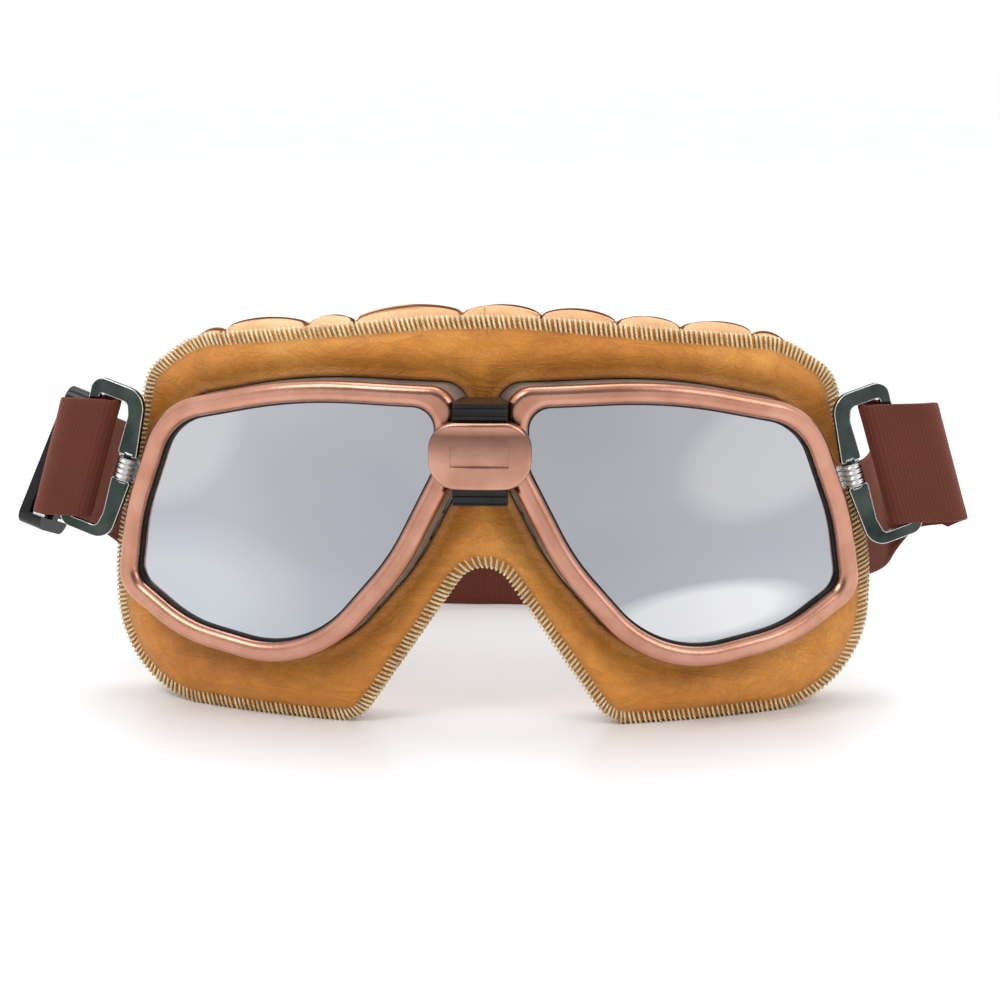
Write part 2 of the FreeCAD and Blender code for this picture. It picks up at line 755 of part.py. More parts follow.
ALIGN_LENGTH = 34.0                # run over which the strap turns upright
LEAD = 9.0                         # straight lead at either end of the free strap
REAR_Y = size("overall_depth") - HALF_THICK
REAR_Z = size("strap_width") / 2
FREE_ROUTE = route_points([(97.0, 68.0, 45.5), (92.5, 84.0, 38.0), (80.0, 106.0, 29.0), (58.0, 128.0, 21.0),
                           (30.0, 144.0, 15.8), (0.0, REAR_Y, REAR_Z), (-30.0, 144.5, 15.8),
                           (-60.0, 130.0, 21.5), (-84.0, 109.0, 30.0)])
FREE_COUNT = 41
RIGHT_FREE = 7                     # stations of the free strap that belong to the right fold
LEFT_FREE = 5


def make_strap():
    # both hook ends: the loop round the bar and the front layer, moving with the hook
    right_end = loop_stations(1) + front_layer("right", 1)
    new_shape("right_strap_end", band(right_end))
    left_end = loop_stations(-1) + front_layer("left", -1)
    left_end += fold_stations("left", -1, range(0, 91, 15)) + side_run("left", -1)
    new_shape("left_strap_end", band(left_end))

    # the rest bends as the hooks swing, except the band behind the head
    right_fold = fold_stations("right", 1, range(0, 141, 14))
    left_last = left_end[-1]
    backward = Station(left_last.middle, left_last.width, left_last.normal)
    free = free_stations(right_fold[-1], FREE_ROUTE, backward, FREE_COUNT)
    new_shape("right_strap_fold", band(right_fold + free[1:RIGHT_FREE]))
    new_shape("strap_band", band(free[RIGHT_FREE - 1:1 - LEFT_FREE]))
    gap = (free[-2].middle - left_last.middle).normalize() * 0.4
    free[-1] = Station(left_last.middle + gap, left_last.width, left_last.normal)
    new_shape("left_strap_fold", band(free[-LEFT_FREE:]))


make_strap()


def make_slider():
    """A three-bar slider: the strap passes inside the end bars and outside the middle one."""
    side = -1
    along = size("slider_length")
    high = size("slider_height")
    inside = -side * size("slider_inside")
    outside = side * size("slider_outside")
    flare = side * size("slider_flare")
    channel = size("slider_channel") / 2
    bar = size("slider_bar")
    travel = LAYER_END["left"] - BAR + FOLD_RADIUS["left"] * math.pi / 2 + SLIDER_AT
    middle = Vector(side * (LAYER_END["left"] + FOLD_RADIUS["left"]),
                    FOLD_RADIUS["left"] - LOOP + SLIDER_AT, STRAP_DROP - travel * math.tan(SKEW))
    turned = Placement(middle, Rotation(Vector(1, 0, 0), -size("strap_skew")))
    body = new_body("strap_slider", hook_frame(side) * turned)
    wedge = sketch_on(body, "XY_Plane", polygon([(inside, -along / 2), (inside, along / 2),
                                                 (outside, along / 2), (flare, -along / 2)]), "wedge")
    feature(body, "Pad", wedge, "sizes.slider_height * 1 mm", "pad", both_ways=True)
    corners = [(-along / 2, -high / 2, 3.0), (along / 2, -high / 2, 3.0),
               (along / 2, high / 2, 3.0), (-along / 2, high / 2, 3.0)]
    edges = rectangle(0, 0, 2 * along, 2 * high) + outline(corners)
    around = sketch_on(body, "YZ_Plane", edges, "around")
    feature(body, "Pocket", around, 2 * FAR, "rounded", both_ways=True)
    slot_high = size("strap_width") + 0.9
    window = along / 2 - size("slider_end_bar") - bar / 2
    slot = sketch_on(body, "XZ_Plane", rectangle(0, 0, 2 * channel, slot_high), "slot")
    feature(body, "Pocket", slot, 2 * FAR, "slot_cut", both_ways=True)
    windows = []
    for way in (-1, 1):
        windows += rectangle(way * (bar + window) / 2, 0, window, slot_high)
    opening = sketch_on(body, "YZ_Plane", windows, "windows")
    feature(body, "Pocket", opening, 2 * FAR, "window_cut", both_ways=True)
    # the middle bar stays inside the strap, the end bars outside it
    half_bar = bar / 2 + 0.1
    outer = polygon([(0, -half_bar), (2 * flare, -half_bar), (2 * flare, half_bar), (0, half_bar)])
    ends = []
    for way in (-1, 1):
        reach = way * (along / 2 - size("slider_end_bar") - 0.1)
        ends += polygon([(0, reach), (2 * inside, reach), (2 * inside, way * along), (0, way * along)])
    trims = sketch_on(body, "XY_Plane", outer + ends, "trims")
    feature(body, "Pocket", trims, slot_high, "trim_cut", both_ways=True)


make_slider()

# ---------------------------------------------------------------- checks and files

doc.recompute()
failed = [o.Name for o in doc.Objects if "Invalid" in o.State or "Error" in o.State]
if failed:
    raise RuntimeError("failed: " + ", ".join(failed))
os.makedirs("parts", exist_ok=True)
for part in subparts:
    if part.Shape.isNull() or not part.Shape.isValid():
        raise RuntimeError("bad shape: " + part.Label)
    part.Shape.exportStep("parts/" + part.Label + ".step")
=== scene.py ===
import math
import random

import bmesh
import bpy
import numpy as np
from mathutils import Matrix, Vector, noise


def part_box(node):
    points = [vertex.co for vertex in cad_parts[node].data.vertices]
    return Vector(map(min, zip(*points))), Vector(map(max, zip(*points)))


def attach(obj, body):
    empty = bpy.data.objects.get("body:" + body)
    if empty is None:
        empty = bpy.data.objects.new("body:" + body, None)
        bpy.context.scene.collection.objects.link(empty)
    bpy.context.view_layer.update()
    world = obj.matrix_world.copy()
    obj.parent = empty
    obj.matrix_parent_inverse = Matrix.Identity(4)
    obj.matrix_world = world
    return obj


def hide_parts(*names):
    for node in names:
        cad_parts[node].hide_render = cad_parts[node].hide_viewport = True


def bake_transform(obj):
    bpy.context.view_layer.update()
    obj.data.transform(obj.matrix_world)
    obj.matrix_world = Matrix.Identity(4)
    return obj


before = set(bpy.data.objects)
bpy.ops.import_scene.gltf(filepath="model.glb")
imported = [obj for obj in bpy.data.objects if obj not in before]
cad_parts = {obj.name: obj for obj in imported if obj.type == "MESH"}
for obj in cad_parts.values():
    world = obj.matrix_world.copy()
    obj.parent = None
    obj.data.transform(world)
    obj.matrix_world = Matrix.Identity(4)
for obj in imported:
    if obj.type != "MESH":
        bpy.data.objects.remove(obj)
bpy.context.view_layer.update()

# Vintage riding goggles. Lengths are in millimetres until a mesh is made, +X right, +Y back, +Z up.
MM = 0.001

# ---------------------------------------------------------------- the frame's own sizes

FRONT_Y = -75.0                    # front of the bridge plate, where the eyecups' own depth starts
BACK_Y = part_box("strap_band")[1].y / MM
WRAP = math.radians(17.5)
FACE_RADIUS = 142.0
LEATHER_FRONT = 18.5
LEATHER_THICK = 2.4
PAD_BACK = 16.5                    # back of the face pad, behind the leather's front

# corners across and up, each with its fillet radius; an eye lies in its eyecup's own frame
EYE = [(8.1, 82.8, 6.0), (46.0, 83.8, 120.0), (82.5, 75.7, 20.0), (92.9, 49.5, 50.0), (95.8, 30.0, 7.5),
       (77.4, 18.8, 40.0), (42.6, 12.8, 32.0), (19.7, 39.6, 60.0), (8.4, 62.4, 13.0)]
FACE_HALF = [(0.0, 98.9, 200.0), (70.0, 90.6, 20.0), (82.6, 81.5, 12.0), (93.0, 33.0, 60.0),
             (91.5, 0.6, 23.0), (30.0, 0.6, 9.0), (0.0, 45.0, 7.5)]
PAD_HALF = [(0.0, 101.4, 200.0), (66.0, 93.6, 20.0), (79.0, 83.0, 12.0), (89.0, 33.0, 60.0),
            (87.5, 0.0, 22.0), (32.5, 0.0, 9.0), (0.0, 48.0, 7.5)]
EYE_MIDDLE = np.array((50.0, 47.0))


def both_sides(half):
    """A half outline that starts and ends on the middle line, mirrored to a whole one."""
    return half + [(-x, z, r) for x, z, r in reversed(half[1:-1])]


def unit(v):
    return v / np.linalg.norm(v)


def outline(corners, pitch=0.8):
    """Points along straight sides joined by tangent arcs, as one closed loop."""
    corners = [(np.array((x, z)), r) for x, z, r in corners]
    count = len(corners)
    points = []
    for i, (corner, radius) in enumerate(corners):
        before = unit(corners[i - 1][0] - corner)
        after = unit(corners[(i + 1) % count][0] - corner)
        half = math.acos(float(np.clip(before @ after, -1, 1))) / 2
        centre = corner + unit(before + after) * (radius / math.sin(half))
        start = corner + before * (radius / math.tan(half)) - centre
        end = corner + after * (radius / math.tan(half)) - centre
        first = math.atan2(start[1], start[0])
        turn = math.atan2(end[1], end[0]) - first
        turn = (turn + math.pi) % (2 * math.pi) - math.pi
        steps = max(2, int(abs(turn) * radius / pitch))
        for k in range(steps + 1):
            a = first + turn * k / steps
            points.append(centre + radius * np.array((math.cos(a), math.sin(a))))
    return resample(np.array(points), pitch=pitch, closed=True)


def resample(points, count=None, pitch=None, closed=False):
    """Even points along a line; a closed line's last point isn't repeated."""
    line = np.vstack([points, points[:1]]) if closed else points
    reach = np.concatenate([[0], np.cumsum(np.linalg.norm(np.diff(line, axis=0), axis=1))])
    if count is None:
        count = int(reach[-1] / pitch) + (0 if closed else 1)
    at = np.linspace(0, reach[-1], count + 1)[:-1] if closed else np.linspace(0, reach[-1], count)
    return np.column_stack([np.interp(at, reach, line[:, k]) for k in range(line.shape[1])])


def right_half(loop):
    """The part of a closed symmetric loop at x >= 0, from the top middle down to the notch."""
    top = int(np.argmax(loop[:, 1] - 10 * np.abs(loop[:, 0])))
    loop = np.roll(loop, -top, axis=0)
    if loop[5, 0] < loop[0, 0]:
        loop = np.roll(loop[::-1], 1, axis=0)
    inside = [p for p in loop[1:] if p[0] > 0.3]
    return np.array([(0.0, inside[0][1])] + inside + [(0.0, inside[-1][1])])


def face_y(x):
    """Front of the leather layer, before it is puffed."""
    return FRONT_Y + LEATHER_FRONT + FACE_RADIUS - np.sqrt(FACE_RADIUS ** 2 - x ** 2)


def inset(loop, distance):
    """A closed loop moved inward along its normals."""
    ahead = np.roll(loop, -1, axis=0) - np.roll(loop, 1, axis=0)
    ahead = ahead / np.linalg.norm(ahead, axis=1)[:, None]
    normal = np.column_stack([-ahead[:, 1], ahead[:, 0]])
    area = np.sum(loop[:, 0] * np.roll(loop[:, 1], -1) - np.roll(loop[:, 0], -1) * loop[:, 1])
    return loop + normal * (distance if area > 0 else -distance)


def eye_on_face(distance, depth):
    """The right eye's outline, carried along the eyecup to depth behind the leather's front."""
    loop = inset(outline(EYE), distance)
    down = np.full(len(loop), 10.0)
    for _ in range(30):
        x = loop[:, 0] * math.cos(WRAP) - down * math.sin(WRAP)
        down = (face_y(x) + depth - FRONT_Y - loop[:, 0] * math.sin(WRAP)) / math.cos(WRAP)
    return np.column_stack([x, loop[:, 1]])


def reach_to(points, line):
    """Each point's distance to the nearest point of a line."""
    out = np.empty(len(points))
    for k in range(0, len(points), 2000):
        part = points[k:k + 2000]
        out[k:k + 2000] = np.sqrt(((part[:, None, :] - line[None]) ** 2).sum(2)).min(1)
    return out


def smooth(value, low, high):
    """0 up to low, 1 from high on, with an S between."""
    t = np.clip((value - low) / (high - low), 0, 1)
    return t * t * (3 - 2 * t)


def dome(value, reach):
    """A quarter round: 0 at 0, 1 from reach on."""
    t = np.clip(value / reach, 0, 1)
    return np.sqrt(1 - (1 - t) ** 2)


def ripple(points, size, seed):
    """Smooth noise from -1 to 1 at each point, size millimetres across."""
    shift = Vector((seed * 17.3, seed * 5.1, seed * 9.7))
    return np.array([noise.noise(Vector(p) / size + shift) for p in points])


# ---------------------------------------------------------------- meshes

def new_piece(name, vertices, faces, uvs=None):
    """A smooth mesh object from millimetre points; uvs holds one pair for each vertex."""
    mesh = bpy.data.meshes.new(name)
    mesh.from_pydata([tuple(float(c) * MM for c in v) for v in vertices], [], faces)
    if uvs is not None:
        layer = mesh.uv_layers.new(name="UVMap")
        for loop in mesh.loops:
            layer.data[loop.index].uv = uvs[loop.vertex_index]
    mesh.polygons.foreach_set("use_smooth", [True] * len(mesh.polygons))
    piece = bpy.data.objects.new(name, mesh)
    bpy.context.scene.collection.objects.link(piece)
    return piece


def ring_faces(start, rings, count):
    """Quads between closed rings of count points each, numbered from start."""
    faces = []
    for j in range(rings - 1):
        low, high = start + j * count, start + (j + 1) * count
        for i in range(count):
            n = (i + 1) % count
            faces.append((low + i, low + n, high + n, high + i))
    return faces


def weld(piece, distance=0.01):
    """Joins vertices closer than distance, if it isn't 0, and turns every face outward."""
    made = bmesh.new()
    made.from_mesh(piece.data)
    if distance:
        bmesh.ops.remove_doubles(made, verts=made.verts, dist=distance * MM)
    bmesh.ops.recalc_face_normals(made, faces=made.faces)
    made.to_mesh(piece.data)
    made.free()
    return piece


def tube_rings(points, radius, sides):
    """Rings of points round a line, without twist."""
    points = [Vector(p) for p in points]
    count = len(points)
    rings = []
    across = None
    for i, p in enumerate(points):
        along = points[min(i + 1, count - 1)] - points[max(i - 1, 0)]
        along.normalize()
        across = along.orthogonal() if across is None else across - along * across.dot(along)
        across.normalize()
        over = along.cross(across)
        rings.append([p + (across * math.cos(2 * math.pi * k / sides)
                           + over * math.sin(2 * math.pi * k / sides)) * radius for k in range(sides)])
    return rings


def add_tube(vertices, faces, points, radius, sides):
    """A capped tube along a line."""
    base = len(vertices)
    rings = tube_rings(points, radius, sides)
    for ring in rings:
        vertices.extend(ring)
    faces.extend(ring_faces(base, len(rings), sides))
    faces.append(tuple(range(base + sides - 1, base - 1, -1)))
    end = base + (len(rings) - 1) * sides
    faces.append(tuple(range(end, end + sides)))


# ---------------------------------------------------------------- materials

CLOUD_SIZE = 9.0                   # patches of tone on the metals
RIB_PITCH = 0.9                    # of the webbing, along it
WARP_PITCH = 0.75                  # and across it
WIRE_PITCH = 0.8
KNUCKLE_PITCH = 1.3                # of the turned rings round a pivot
PIVOT_LINE = (-0.279, -0.088, 0.956)    # along a pivot: outward, back, up


def opened(material):
    """A material's node tree and its shader."""
    return material.node_tree, material.node_tree.nodes["Principled BSDF"]


def new_material(name, metallic=0.0, roughness=0.5, color=(0.5, 0.5, 0.5), **inputs):
    """A material with its tree and shader; inputs are named with _ for a space."""
    material = bpy.data.materials.new(name)
    material.use_nodes = True
    tree, shader = opened(material)
    shader.inputs["Base Color"].default_value = (*color, 1)
    shader.inputs["Metallic"].default_value = metallic
    shader.inputs["Roughness"].default_value = roughness
    for key, value in inputs.items():
        shader.inputs[key.replace("_", " ")].default_value = value
    return material, tree, shader


def node(tree, kind, links=(), **values):
    """A node with its properties or inputs set by name, and its inputs linked."""
    made = tree.nodes.new("ShaderNode" + kind)
    for key, value in values.items():
        if hasattr(made, key):
            setattr(made, key, value)
        else:
            made.inputs[key.replace("_", " ")].default_value = value
    for key, source in links:
        tree.links.new(source, made.inputs[key])
    return made


def place(tree, kind="Object", scale=(1, 1, 1)):
    """The piece's own coordinates, scaled."""
    coordinates = node(tree, "TexCoord").outputs[kind]
    return node(tree, "Mapping", [("Vector", coordinates)], Scale=scale).outputs[0]


def grain(tree, where, size, detail=4.0, rough=0.55, distort=0.0):
    """Noise whose features are about size millimetres."""
    return node(tree, "TexNoise", [("Vector", where)], Scale=1000 / size, Detail=detail,
                Roughness=rough, Distortion=distort).outputs["Fac"]


def ramp(tree, source, stops):
    """A color for each value of source, between stops of (value, color)."""
    made = node(tree, "ValToRGB", [("Fac", source)])
    points = made.color_ramp.elements
    while len(points) < len(stops):
        points.new(0.5)
    for point, (at, color) in zip(points, stops):
        point.position = at
        point.color = (*color, 1)
    return made.outputs["Color"]


def grey(value):
    return (value, value, value)


def mix(tree, share, a, b, how="MIX"):
    made = node(tree, "Mix", data_type="RGBA", blend_type=how)
    for key, value in ((0, share), (6, a), (7, b)):
        if isinstance(value, bpy.types.NodeSocket):
            tree.links.new(value, made.inputs[key])
        else:
            made.inputs[key].default_value = (*value, 1) if key else value
    return made.outputs[2]


def math_node(tree, how, a, b=None):
    made = node(tree, "Math", operation=how)
    for key, value in ((0, a), (1, b)):
        if isinstance(value, bpy.types.NodeSocket):
            tree.links.new(value, made.inputs[key])
        elif value is not None:
            made.inputs[key].default_value = value
    return made.outputs[0]


def wave(tree, along, pitch):
    """A sine along a coordinate, one wave for each pitch in millimetres."""
    return math_node(tree, "SINE", math_node(tree, "MULTIPLY", along, 2 * math.pi / (pitch * MM)))


def bump(tree, height, depth, strength=1.0, under=None):
    """depth is the height of the relief in millimetres."""
    links = [("Height", height)] + ([("Normal", under)] if under is not None else [])
    return node(tree, "Bump", links, Strength=strength, Distance=depth * MM).outputs[0]


def set_color(tree, shader, source):
    tree.links.new(source, shader.inputs["Base Color"])


def set_rough(tree, shader, source):
    tree.links.new(source, shader.inputs["Roughness"])


def set_normal(tree, shader, source):
    tree.links.new(source, shader.inputs["Normal"])


def metal(name, dark, light, rough, relief, size, round_edge):
    """Metal with cloudy tone, fine surface relief and softened edges, in millimetres."""
    material, tree, shader = new_material(name, metallic=1.0)
    where = place(tree)
    clouds = grain(tree, where, CLOUD_SIZE, 3.0)
    fine = grain(tree, where, size, 3.0)
    set_color(tree, shader, ramp(tree, clouds, [(0.3, dark), (0.7, light)]))
    spread = math_node(tree, "MULTIPLY_ADD", fine, 0.16)
    spread.node.inputs[2].default_value = rough - 0.08
    set_rough(tree, shader, spread)
    edge = node(tree, "Bevel", Radius=round_edge * MM, samples=4).outputs[0]
    set_normal(tree, shader, bump(tree, fine, relief, 0.6, edge))
    return material


def leather(name, deep, middle, bright, fill, relief):
    """Leather: pebbled grain, pulled creases and uneven dye."""
    material, tree, shader = new_material(name, roughness=0.5, Specular_IOR_Level=0.42)
    where = place(tree)
    pebble = node(tree, "TexVoronoi", [("Vector", where)], Scale=1000 / 1.1, feature="DISTANCE_TO_EDGE")
    cells = ramp(tree, pebble.outputs["Distance"], [(0.0, grey(0.0)), (0.16, grey(1.0))])
    pores = grain(tree, where, 0.5, 3.0)
    pull = grain(tree, place(tree, scale=(0.35, 1, 1)), 5.0, 6.0, 0.62, 1.2)
    creases = ramp(tree, pull, [(0.42, grey(1.0)), (0.5, grey(0.35)), (0.56, grey(1.0))])
    dye = grain(tree, where, 26.0, 4.0, 0.6)
    mottle = grain(tree, where, 4.5, 5.0, 0.6)
    base = ramp(tree, dye, [(0.3, deep), (0.52, middle), (0.72, bright)])
    spots = ramp(tree, mottle, [(0.36, grey(0.72)), (0.62, grey(1.0))])
    base = mix(tree, 0.36, base, spots, "MULTIPLY")
    # the creases also darken the colour: painted shade in their folds
    base = mix(tree, 0.16, base, creases, "MULTIPLY")
    base = mix(tree, 0.10, base, cells, "MULTIPLY")
    if fill is not None:
        base = fill(tree, base)
    set_color(tree, shader, base)
    set_rough(tree, shader, ramp(tree, mottle, [(0.3, grey(0.38)), (0.7, grey(0.56))]))
    normal = bump(tree, cells, 0.035 * relief)
    normal = bump(tree, pores, 0.03 * relief, under=normal)
    normal = bump(tree, creases, 0.12 * relief, under=normal)
    set_normal(tree, shader, normal)
    return material


def edge_shade(tree, base):
    """Painted shade: darker where the hide dips under the eyecups and along the stitch line."""
    layer = node(tree, "Attribute", attribute_name="painted_shade").outputs["Fac"]
    return mix(tree, layer, base, (0.105, 0.036, 0.010))


def webbing(name):
    """Woven elastic: fine ribs across the strap, in red brown."""
    material, tree, shader = new_material(name, roughness=0.78, Sheen_Weight=0.35, Sheen_Roughness=0.4,
                                          Specular_IOR_Level=0.25)
    shader.inputs["Sheen Tint"].default_value = (0.85, 0.36, 0.26, 1)
    where = place(tree, "UV")
    split = node(tree, "SeparateXYZ", [("Vector", where)])
    along, across = split.outputs[0], split.outputs[1]
    rib = wave(tree, along, RIB_PITCH)
    warp = wave(tree, across, WARP_PITCH)
    cross = math_node(tree, "MULTIPLY", rib, warp)
    fuzz = grain(tree, place(tree), 0.7, 4.0, 0.7)
    fade = grain(tree, place(tree), 14.0, 3.0)
    height = math_node(tree, "ADD", math_node(tree, "MULTIPLY", rib, 0.4),
                       math_node(tree, "MULTIPLY", cross, 0.25))
    height = math_node(tree, "ADD", height, fuzz)
    share = node(tree, "MapRange", [("Value", height)], From_Min=-0.5, From_Max=1.5).outputs[0]
    tone = ramp(tree, share, [(0.0, (0.084, 0.018, 0.009)), (0.5, (0.118, 0.027, 0.0145)),
                              (1.0, (0.158, 0.038, 0.021))])
    set_color(tree, shader, mix(tree, 0.4, tone, ramp(tree, fade, [(0.3, grey(0.7)), (0.7, grey(1.0))]),
                                "MULTIPLY"))
    set_normal(tree, shader, bump(tree, height, 0.06, 0.6))
    return material


def thread(name, dark, light):
    """Twisted cotton."""
    material, tree, shader = new_material(name, roughness=0.68, Sheen_Weight=0.3)
    twist = node(tree, "TexWave", [("Vector", place(tree, scale=(1, 0.6, 1)))], Scale=900.0,
                 Distortion=3.0, Detail=2.0, bands_direction="DIAGONAL").outputs["Fac"]
    fuzz = grain(tree, place(tree), 3.0, 4.0)
    set_color(tree, shader, mix(tree, 0.5, ramp(tree, twist, [(0.1, dark), (0.6, light)]),
                                ramp(tree, fuzz, [(0.3, dark), (0.6, light)])))
    set_normal(tree, shader, bump(tree, twist, 0.08))
    return material


# painted reflections on the lenses: middle, reach, tilt in degrees, color, share of the reach that fades
LENS_REFLECTIONS = [((-72.0, 30.0), (34.0, 20.0), 0.0, (0.52, 0.54, 0.57), 0.6),
              ((-76.0, 73.0), (20.0, 26.0), 30.0, (0.50, 0.50, 0.51), 0.25),
              ((-32.0, 54.0), (30.0, 19.0), 20.0, (0.345, 0.355, 0.385), 0.5),
              ((52.0, 28.0), (26.0, 7.5), -6.0, (0.74, 0.74, 0.75), 0.35),
              ((24.0, 66.0), (22.0, 24.0), 0.0, (0.335, 0.345, 0.370), 0.5),
              ((68.0, 66.0), (26.0, 16.0), -25.0, (0.47, 0.47, 0.48), 0.3)]


def reflection_patch(tree, middle, reach, tilt):
    """A soft round patch of painted reflection in the front view: 1 at its middle, 0 at its edge.
    Millimetres.
    """
    coordinates = node(tree, "TexCoord").outputs["Object"]
    where = node(tree, "Mapping", [("Vector", coordinates)], vector_type="TEXTURE",
                 Location=(middle[0] * MM, 0, middle[1] * MM), Rotation=(0, math.radians(tilt), 0),
                 Scale=(reach[0] * MM, 100.0, reach[1] * MM)).outputs[0]
    return node(tree, "TexGradient", [("Vector", where)], gradient_type="SPHERICAL").outputs["Fac"]


def make_lens_material():
    """A silver mirror film, a little cloudy, with painted reflections: paler patches where the room's soft
    boxes would show, and a painted gradient up and across.
    """
    material, tree, shader = new_material("silver_mirror", metallic=1.0, roughness=0.06)
    split = node(tree, "SeparateXYZ", [("Vector", place(tree))])
    # painted reflection: the tint changes with height, and the right lens is painted darker
    up = node(tree, "MapRange", [("Value", split.outputs[2])], From_Min=0.012, From_Max=0.082).outputs[0]
    tint = ramp(tree, up, [(0.0, (0.43, 0.455, 0.49)), (0.45, (0.375, 0.385, 0.42)),
                           (1.0, (0.42, 0.42, 0.435))])
    across = node(tree, "MapRange", [("Value", split.outputs[0])], From_Min=-0.09, From_Max=0.09).outputs[0]
    tint = mix(tree, 1.0, tint, ramp(tree, across, [(0.0, grey(1.0)), (0.48, grey(0.96)), (0.53, grey(0.86)),
                                                    (1.0, grey(0.9))]), "MULTIPLY")
    for middle, reach, tilt, color, edge in LENS_REFLECTIONS:
        share = ramp(tree, reflection_patch(tree, middle, reach, tilt), [(0.0, grey(0.0)), (edge, grey(0.85))])
        tint = mix(tree, share, tint, color)
    film = grain(tree, place(tree), 60.0, 2.0)
    set_color(tree, shader, mix(tree, 0.2, tint, ramp(tree, film, [(0.35, (0.36, 0.38, 0.42)),
                                                                 (0.65, (0.46, 0.46, 0.47))])))
    smear = grain(tree, place(tree, scale=(1, 1, 0.4)), 12.0, 5.0)
    set_rough(tree, shader, ramp(tree, smear, [(0.35, grey(0.04)), (0.75, grey(0.11))]))
    return material


def make_mesh_material():
    """Fine woven wire."""
    material, tree, shader = new_material("woven_wire", metallic=0.8, roughness=0.45)
    split = node(tree, "SeparateXYZ", [("Vector", place(tree))])
    waves = [wave(tree, split.outputs[k], WIRE_PITCH) for k in (0, 1, 2)]
    weave = math_node(tree, "MAXIMUM", math_node(tree, "MAXIMUM", waves[0], waves[1]), waves[2])
    set_color(tree, shader, ramp(tree, weave, [(0.35, grey(0.006)), (0.9, grey(0.22))]))
    set_normal(tree, shader, bump(tree, weave, 0.2))
    return material


def gloss_black(name, rough, relief):
    """Black enamel or rubber with a little dust and softened edges."""
    material, tree, shader = new_material(name, Specular_IOR_Level=0.3)
    where = place(tree)
    fine = grain(tree, where, 0.8, 4.0)
    dust = grain(tree, where, 7.0, 5.0)
    set_color(tree, shader, ramp(tree, dust, [(0.35, grey(0.006)), (0.75, grey(0.022))]))
    set_rough(tree, shader, ramp(tree, fine, [(0.3, grey(rough)), (0.7, grey(rough + 0.12))]))
    edge = node(tree, "Bevel", Radius=0.25 * MM, samples=4).outputs[0]
    set_normal(tree, shader, bump(tree, fine, relief, 0.7, edge))
    return material


def make_chrome():
    """Polished plate, its colour painted: a dark reflection on its flats and a bright painted highlight
    round its edges.
    """
    # painted reflection: near-black flats, as if mirroring a dark room
    material = metal("bright_chrome", (0.018, 0.026, 0.022), (0.060, 0.075, 0.066), 0.13, 0.006, 0.8, 0.3)
    tree, shader = opened(material)
    flat = shader.inputs["Base Color"].links[0].from_socket
    soft = node(tree, "Bevel", Radius=0.42 * MM, samples=8).outputs[0]
    facing = node(tree, "NewGeometry").outputs["Normal"]
    same = node(tree, "VectorMath", [(0, soft), (1, facing)], operation="DOT_PRODUCT").outputs["Value"]
    # painted highlight: a pale colour round every edge, where the rounded normal turns from the face
    edge = ramp(tree, same, [(0.90, grey(1.0)), (0.995, grey(0.0))])
    set_color(tree, shader, mix(tree, edge, flat, (0.88, 0.89, 0.88)))
    return material


def painted_plate_reflection(material):
    """Paints a domed plate's reflected light into its colour: a dark band under the bright top edge, pale
    towards the foot.
    """
    tree, shader = opened(material)
    under = shader.inputs["Base Color"].links[0].from_socket
    split = node(tree, "SeparateXYZ", [("Vector", place(tree))])
    low, high = (edge.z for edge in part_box("bridge_plate"))
    up = node(tree, "MapRange", [("Value", split.outputs[2])], From_Min=low, From_Max=high).outputs[0]
    # painted reflection: light and dark bands by height on the plate
    tone = ramp(tree, up, [(0.08, grey(1.0)), (0.40, grey(0.92)), (0.66, grey(0.52)), (0.80, grey(0.36)),
                           (0.92, grey(1.0))])
    set_color(tree, shader, mix(tree, 1.0, under, tone, "MULTIPLY"))
    return material


def ridged(material):
    """Adds turned rings round the pivots to a metal."""
    tree, shader = opened(material)
    under = shader.inputs["Normal"].links[0].from_socket
    split = node(tree, "SeparateXYZ", [("Vector", place(tree))])
    out = math_node(tree, "MULTIPLY", math_node(tree, "ABSOLUTE", split.outputs[0]), PIVOT_LINE[0])
    back = math_node(tree, "MULTIPLY", split.outputs[1], PIVOT_LINE[1])
    up = math_node(tree, "MULTIPLY", split.outputs[2], PIVOT_LINE[2])
    along = math_node(tree, "ADD", math_node(tree, "ADD", out, back), up)
    set_normal(tree, shader, bump(tree, wave(tree, along, KNUCKLE_PITCH), 0.22, 1.0, under))
    return material


COPPER = metal("rose_copper", (0.46, 0.215, 0.140), (0.60, 0.310, 0.225), 0.24, 0.012, 0.5, 0.35)
PEWTER = metal("cast_pewter", (0.26, 0.25, 0.24), (0.46, 0.445, 0.43), 0.45, 0.05, 0.7, 0.2)
opened(PEWTER)[1].inputs["Metallic"].default_value = 0.75
CHROME = make_chrome()
PLATE = painted_plate_reflection(metal("plate_copper", (0.50, 0.24, 0.165), (0.64, 0.34, 0.25), 0.22, 0.012, 0.5, 0.35))
STEEL = metal("nickel_steel", (0.46, 0.45, 0.44), (0.70, 0.69, 0.67), 0.27, 0.02, 0.5, 0.2)
RIDGED = ridged(metal("ridged_nickel", (0.46, 0.46, 0.45), (0.74, 0.73, 0.71), 0.22, 0.01, 0.5, 0.2))
TAN = leather("saddle_tan_leather", (0.56, 0.190, 0.016), (0.68, 0.255, 0.028), (0.80, 0.350, 0.060),
              edge_shade, 1.0)
PEACH = leather("soft_peach_leather", (0.78, 0.40, 0.16), (0.88, 0.52, 0.25), (0.93, 0.60, 0.33),
                None, 0.3)
WEBBING = webbing("red_brown_elastic")
CREAM = thread("cream_thread", (0.36, 0.21, 0.05), (0.95, 0.86, 0.56))
MIRROR = make_lens_material()
WIRE = make_mesh_material()
BLACK = gloss_black("black_enamel", 0.16, 0.01)
RUBBER = gloss_black("black_rubber", 0.42, 0.03)

